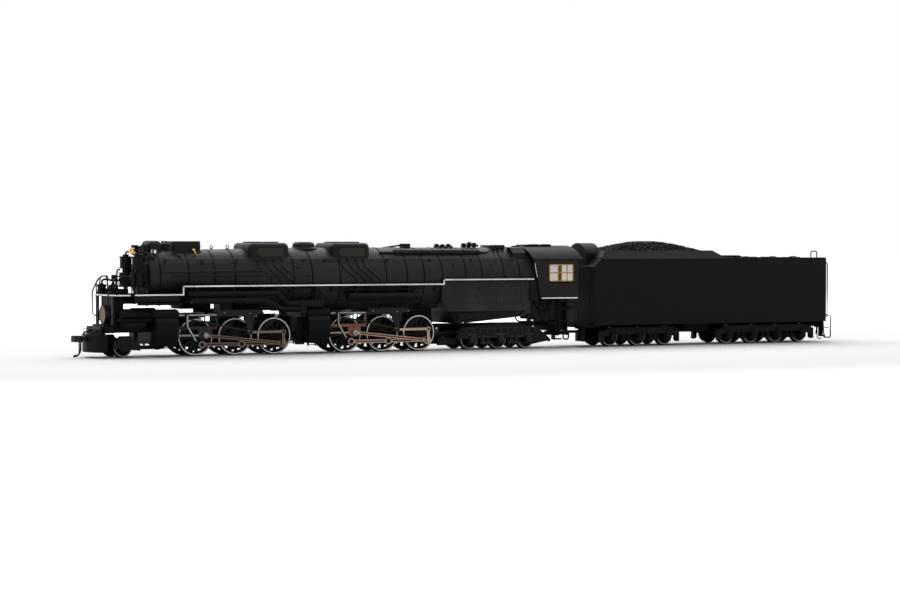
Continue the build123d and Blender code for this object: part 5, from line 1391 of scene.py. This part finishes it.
lens_glass = glazed("lens_glass", (0.95, 0.94, 0.88), 0.03)
rear_lens_dome = [(0, 0), (0, 1.4), (0.25, 1.1), (0.4, 0)]
rear_lens = bmesh.new()
lathe_into(rear_lens, rear_lamp_face, astern, rear_lens_dome, 20)
fit("rear_lamp_lens", rear_lens, lens_glass, "tender")
rivet_pitch = 2.0
tank_rivets = []
for side in (-1, 1):
    tank_rivets += [(259.0 + rivet_pitch * rivet, side * tank_half, 45.9) for rivet in range(74)]
    tank_rivets += [(tank_rear, side * (17.6 - rivet_pitch * rivet), 45.6) for rivet in range(9)]
studs("tank_rivets", tank_rivets, 0.1, tender_black, "tender")

stoker = [(0, 0), (0, 0.8), (1.2, 0.8), (1.4, 1.15), (2.2, 1.15), (2.4, 0.8), (8.6, 0.8), (8.8, 1.2),
          (10.2, 1.2), (10.4, 0.8), (14.6, 0.8), (14.8, 1.1), (15.6, 1.1), (15.6, 0)]
stoker_pipe = bmesh.new()
lathe_into(stoker_pipe, at(236.0, 0, 7.2), astern, stoker, 16)
fit("stoker_pipe", stoker_pipe, frame_black, "drawbar")

coal_tree, entry, leave = make_tree(
    "coal_lumps",
    [("Density", "NodeSocketFloat"), ("Lump", "NodeSocketFloat"), ("Ceiling", "NodeSocketFloat"),
     ("Finish", "NodeSocketMaterial")],
)
scatter = coal_tree.nodes.new("GeometryNodeDistributePointsOnFaces")
scatter.inputs["Seed"].default_value = 7
facing = coal_tree.nodes.new("GeometryNodeInputNormal")
slope = coal_tree.nodes.new("ShaderNodeSeparateXYZ")
faces_up = coal_tree.nodes.new("FunctionNodeCompare")
faces_up.inputs["B"].default_value = 0.2
spot_of = coal_tree.nodes.new("GeometryNodeInputPosition")
rise_of = coal_tree.nodes.new("ShaderNodeSeparateXYZ")
too_high = coal_tree.nodes.new("FunctionNodeCompare")
trim = coal_tree.nodes.new("GeometryNodeDeleteGeometry")
lump = coal_tree.nodes.new("GeometryNodeMeshIcoSphere")
lump.inputs["Subdivisions"].default_value = 1
tumble = coal_tree.nodes.new("FunctionNodeRandomValue")
tumble.data_type = "FLOAT_VECTOR"
tumble.inputs["Max"].default_value = (6.28, 6.28, 6.28)
tumble.inputs["Seed"].default_value = 3
grade = coal_tree.nodes.new("FunctionNodeRandomValue")
grade.data_type = "FLOAT_VECTOR"
grade.inputs["Min"].default_value = (0.5, 0.6, 0.5)
grade.inputs["Max"].default_value = (1.4, 1.2, 1.0)
grade.inputs["Seed"].default_value = 5
lump_set = coal_tree.nodes.new("GeometryNodeInstanceOnPoints")
for source, target in (
    (entry.outputs["Geometry"], scatter.inputs["Mesh"]),
    (facing.outputs["Normal"], slope.inputs["Vector"]),
    (slope.outputs["Z"], faces_up.inputs["A"]),
    (faces_up.outputs["Result"], scatter.inputs["Selection"]),
    (entry.outputs["Density"], scatter.inputs["Density"]),
    (scatter.outputs["Points"], trim.inputs["Geometry"]),
    (spot_of.outputs["Position"], rise_of.inputs["Vector"]),
    (rise_of.outputs["Z"], too_high.inputs["A"]),
    (entry.outputs["Ceiling"], too_high.inputs["B"]),
    (too_high.outputs["Result"], trim.inputs["Selection"]),
    (trim.outputs["Geometry"], lump_set.inputs["Points"]),
    (entry.outputs["Lump"], lump.inputs["Radius"]),
    (lump.outputs["Mesh"], lump_set.inputs["Instance"]),
    (tumble.outputs["Value"], lump_set.inputs["Rotation"]),
    (grade.outputs["Value"], lump_set.inputs["Scale"]),
):
    coal_tree.links.new(source, target)
close_tree(coal_tree, entry, leave, lump_set.outputs["Instances"])
heap = bmesh.new()
heap.from_mesh(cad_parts["coal_load"].data)
bmesh.ops.remove_doubles(heap, verts=heap.verts, dist=0.00001)
heap_mesh = bpy.data.meshes.new("heap")
heap.to_mesh(heap_mesh)
heap.free()
lump_radius = 0.55
lump_ceiling = 56.0 - 1.45 * lump_radius
coal_values = {
    "Density": 1.6e6,
    "Lump": lump_radius * mm,
    "Ceiling": lump_ceiling * mm,
    "Finish": coal_black,
}
place("coal_lumps", grow(coal_tree, heap_mesh, coal_values), "tender")


# Studio: a white floor, a long soft box overhead, one behind that throws the shadow forward, and a dim
# one beside the camera.
floor_half = 8
floor_corners = [(-floor_half, -floor_half, 0), (floor_half, -floor_half, 0), (floor_half, floor_half, 0),
                 (-floor_half, floor_half, 0)]
floor_mesh = bpy.data.meshes.new("floor")
floor_mesh.from_pydata(floor_corners, [], [(0, 1, 2, 3)])
floor = bpy.data.objects.new("floor", floor_mesh)
bpy.context.scene.collection.objects.link(floor)


def background_mask(tree):
    """1 for rays from the camera and for those that gloss and glass send to the background."""
    rays = tree.nodes.new("ShaderNodeLightPath")
    seen = tree.nodes.new("ShaderNodeMath")
    seen.operation = "MAXIMUM"
    shown = tree.nodes.new("ShaderNodeMath")
    shown.operation = "MAXIMUM"
    tree.links.new(rays.outputs["Is Camera Ray"], seen.inputs[0])
    tree.links.new(rays.outputs["Is Glossy Ray"], seen.inputs[1])
    tree.links.new(seen.outputs["Value"], shown.inputs[0])
    tree.links.new(rays.outputs["Is Transmission Ray"], shown.inputs[1])
    return shown.outputs["Value"]


floor_white = bpy.data.materials.new("floor_white")
floor_white.use_nodes = True
tree = floor_white.node_tree
shader = tree.nodes["Principled BSDF"]
shader.inputs["Base Color"].default_value = (0.8, 0.8, 0.8, 1)
shader.inputs["Roughness"].default_value = 0.9
shader.inputs["Specular IOR Level"].default_value = 0
glow = tree.nodes.new("ShaderNodeEmission")
level = tree.nodes.new("ShaderNodeMath")
level.operation = "MULTIPLY"
spot = tree.nodes.new("ShaderNodeTexCoord")
distance = tree.nodes.new("ShaderNodeVectorMath")
distance.operation = "LENGTH"
spread = tree.nodes.new("ShaderNodeMapRange")
spread.interpolation_type = "SMOOTHSTEP"
spread.inputs["From Min"].default_value = 0.2
spread.inputs["From Max"].default_value = 0.42
spread.inputs["To Min"].default_value = 0.02
spread.inputs["To Max"].default_value = 0.95
reach = tree.nodes.new("ShaderNodeMapping")
reach.inputs["Scale"].default_value = (0.55, 1, 1)
tree.links.new(spot.outputs["Object"], reach.inputs["Vector"])
tree.links.new(reach.outputs["Vector"], distance.inputs[0])
tree.links.new(distance.outputs["Value"], spread.inputs["Value"])
tree.links.new(spread.outputs["Result"], level.inputs[1])
both = tree.nodes.new("ShaderNodeAddShader")
tree.links.new(background_mask(tree), level.inputs[0])
tree.links.new(level.outputs["Value"], glow.inputs["Strength"])
tree.links.new(shader.outputs["BSDF"], both.inputs[0])
tree.links.new(glow.outputs["Emission"], both.inputs[1])
tree.links.new(both.outputs["Shader"], tree.nodes["Material Output"].inputs["Surface"])
floor_mesh.materials.append(floor_white)

world = bpy.data.worlds.new("studio")
bpy.context.scene.world = world
world.use_nodes = True
sky = world.node_tree.nodes["Background"]
sky.inputs["Color"].default_value = (1, 1, 1, 1)
sky_level = world.node_tree.nodes.new("ShaderNodeMapRange")
sky_level.inputs["To Min"].default_value = 0.12
sky_level.inputs["To Max"].default_value = 1.0
world.node_tree.links.new(background_mask(world.node_tree), sky_level.inputs["Value"])
world.node_tree.links.new(sky_level.outputs["Result"], sky.inputs["Strength"])


def soft_box(name, place_at, aim, size, power):
    """A rectangular lamp at a frame point, facing another."""
    lamp = bpy.data.lights.new(name, "AREA")
    lamp.shape = "RECTANGLE"
    lamp.size, lamp.size_y = size
    lamp.energy = power
    stand = bpy.data.objects.new(name, lamp)
    stand.location = place_at
    stand.rotation_euler = (Vector(aim) - Vector(place_at)).to_track_quat("-Z", "Y").to_euler()
    stand.visible_camera = False
    bpy.context.scene.collection.objects.link(stand)


soft_box("overhead_box", (0.0, 0.1, 0.75), (0, 0.05, 0), (1.6, 0.7), 3.8)
soft_box("backdrop_box", (-0.1, -0.6, 0.8), (0, 0.02, 0), (3.0, 0.75), 17.5)
soft_box("camera_side_box", (0.5, 0.9, 0.6), (0.0, 0, 0.03), (0.7, 0.4), 2.6)

camera_tilt = -1.366
camera_heading = -207.763
camera = bpy.data.cameras.new("photo_camera")
camera.sensor_width = 36
camera.lens = 94.146
camera.clip_start = 0.01
tripod = bpy.data.objects.new("photo_camera", camera)
tripod.location = (0.5825, 1.0747, 0.05445)
tripod.rotation_euler = (radians(90 + camera_tilt), 0, radians(camera_heading))
bpy.context.scene.collection.objects.link(tripod)
bpy.context.scene.camera = tripod
bpy.context.scene.view_settings.view_transform = "Standard"
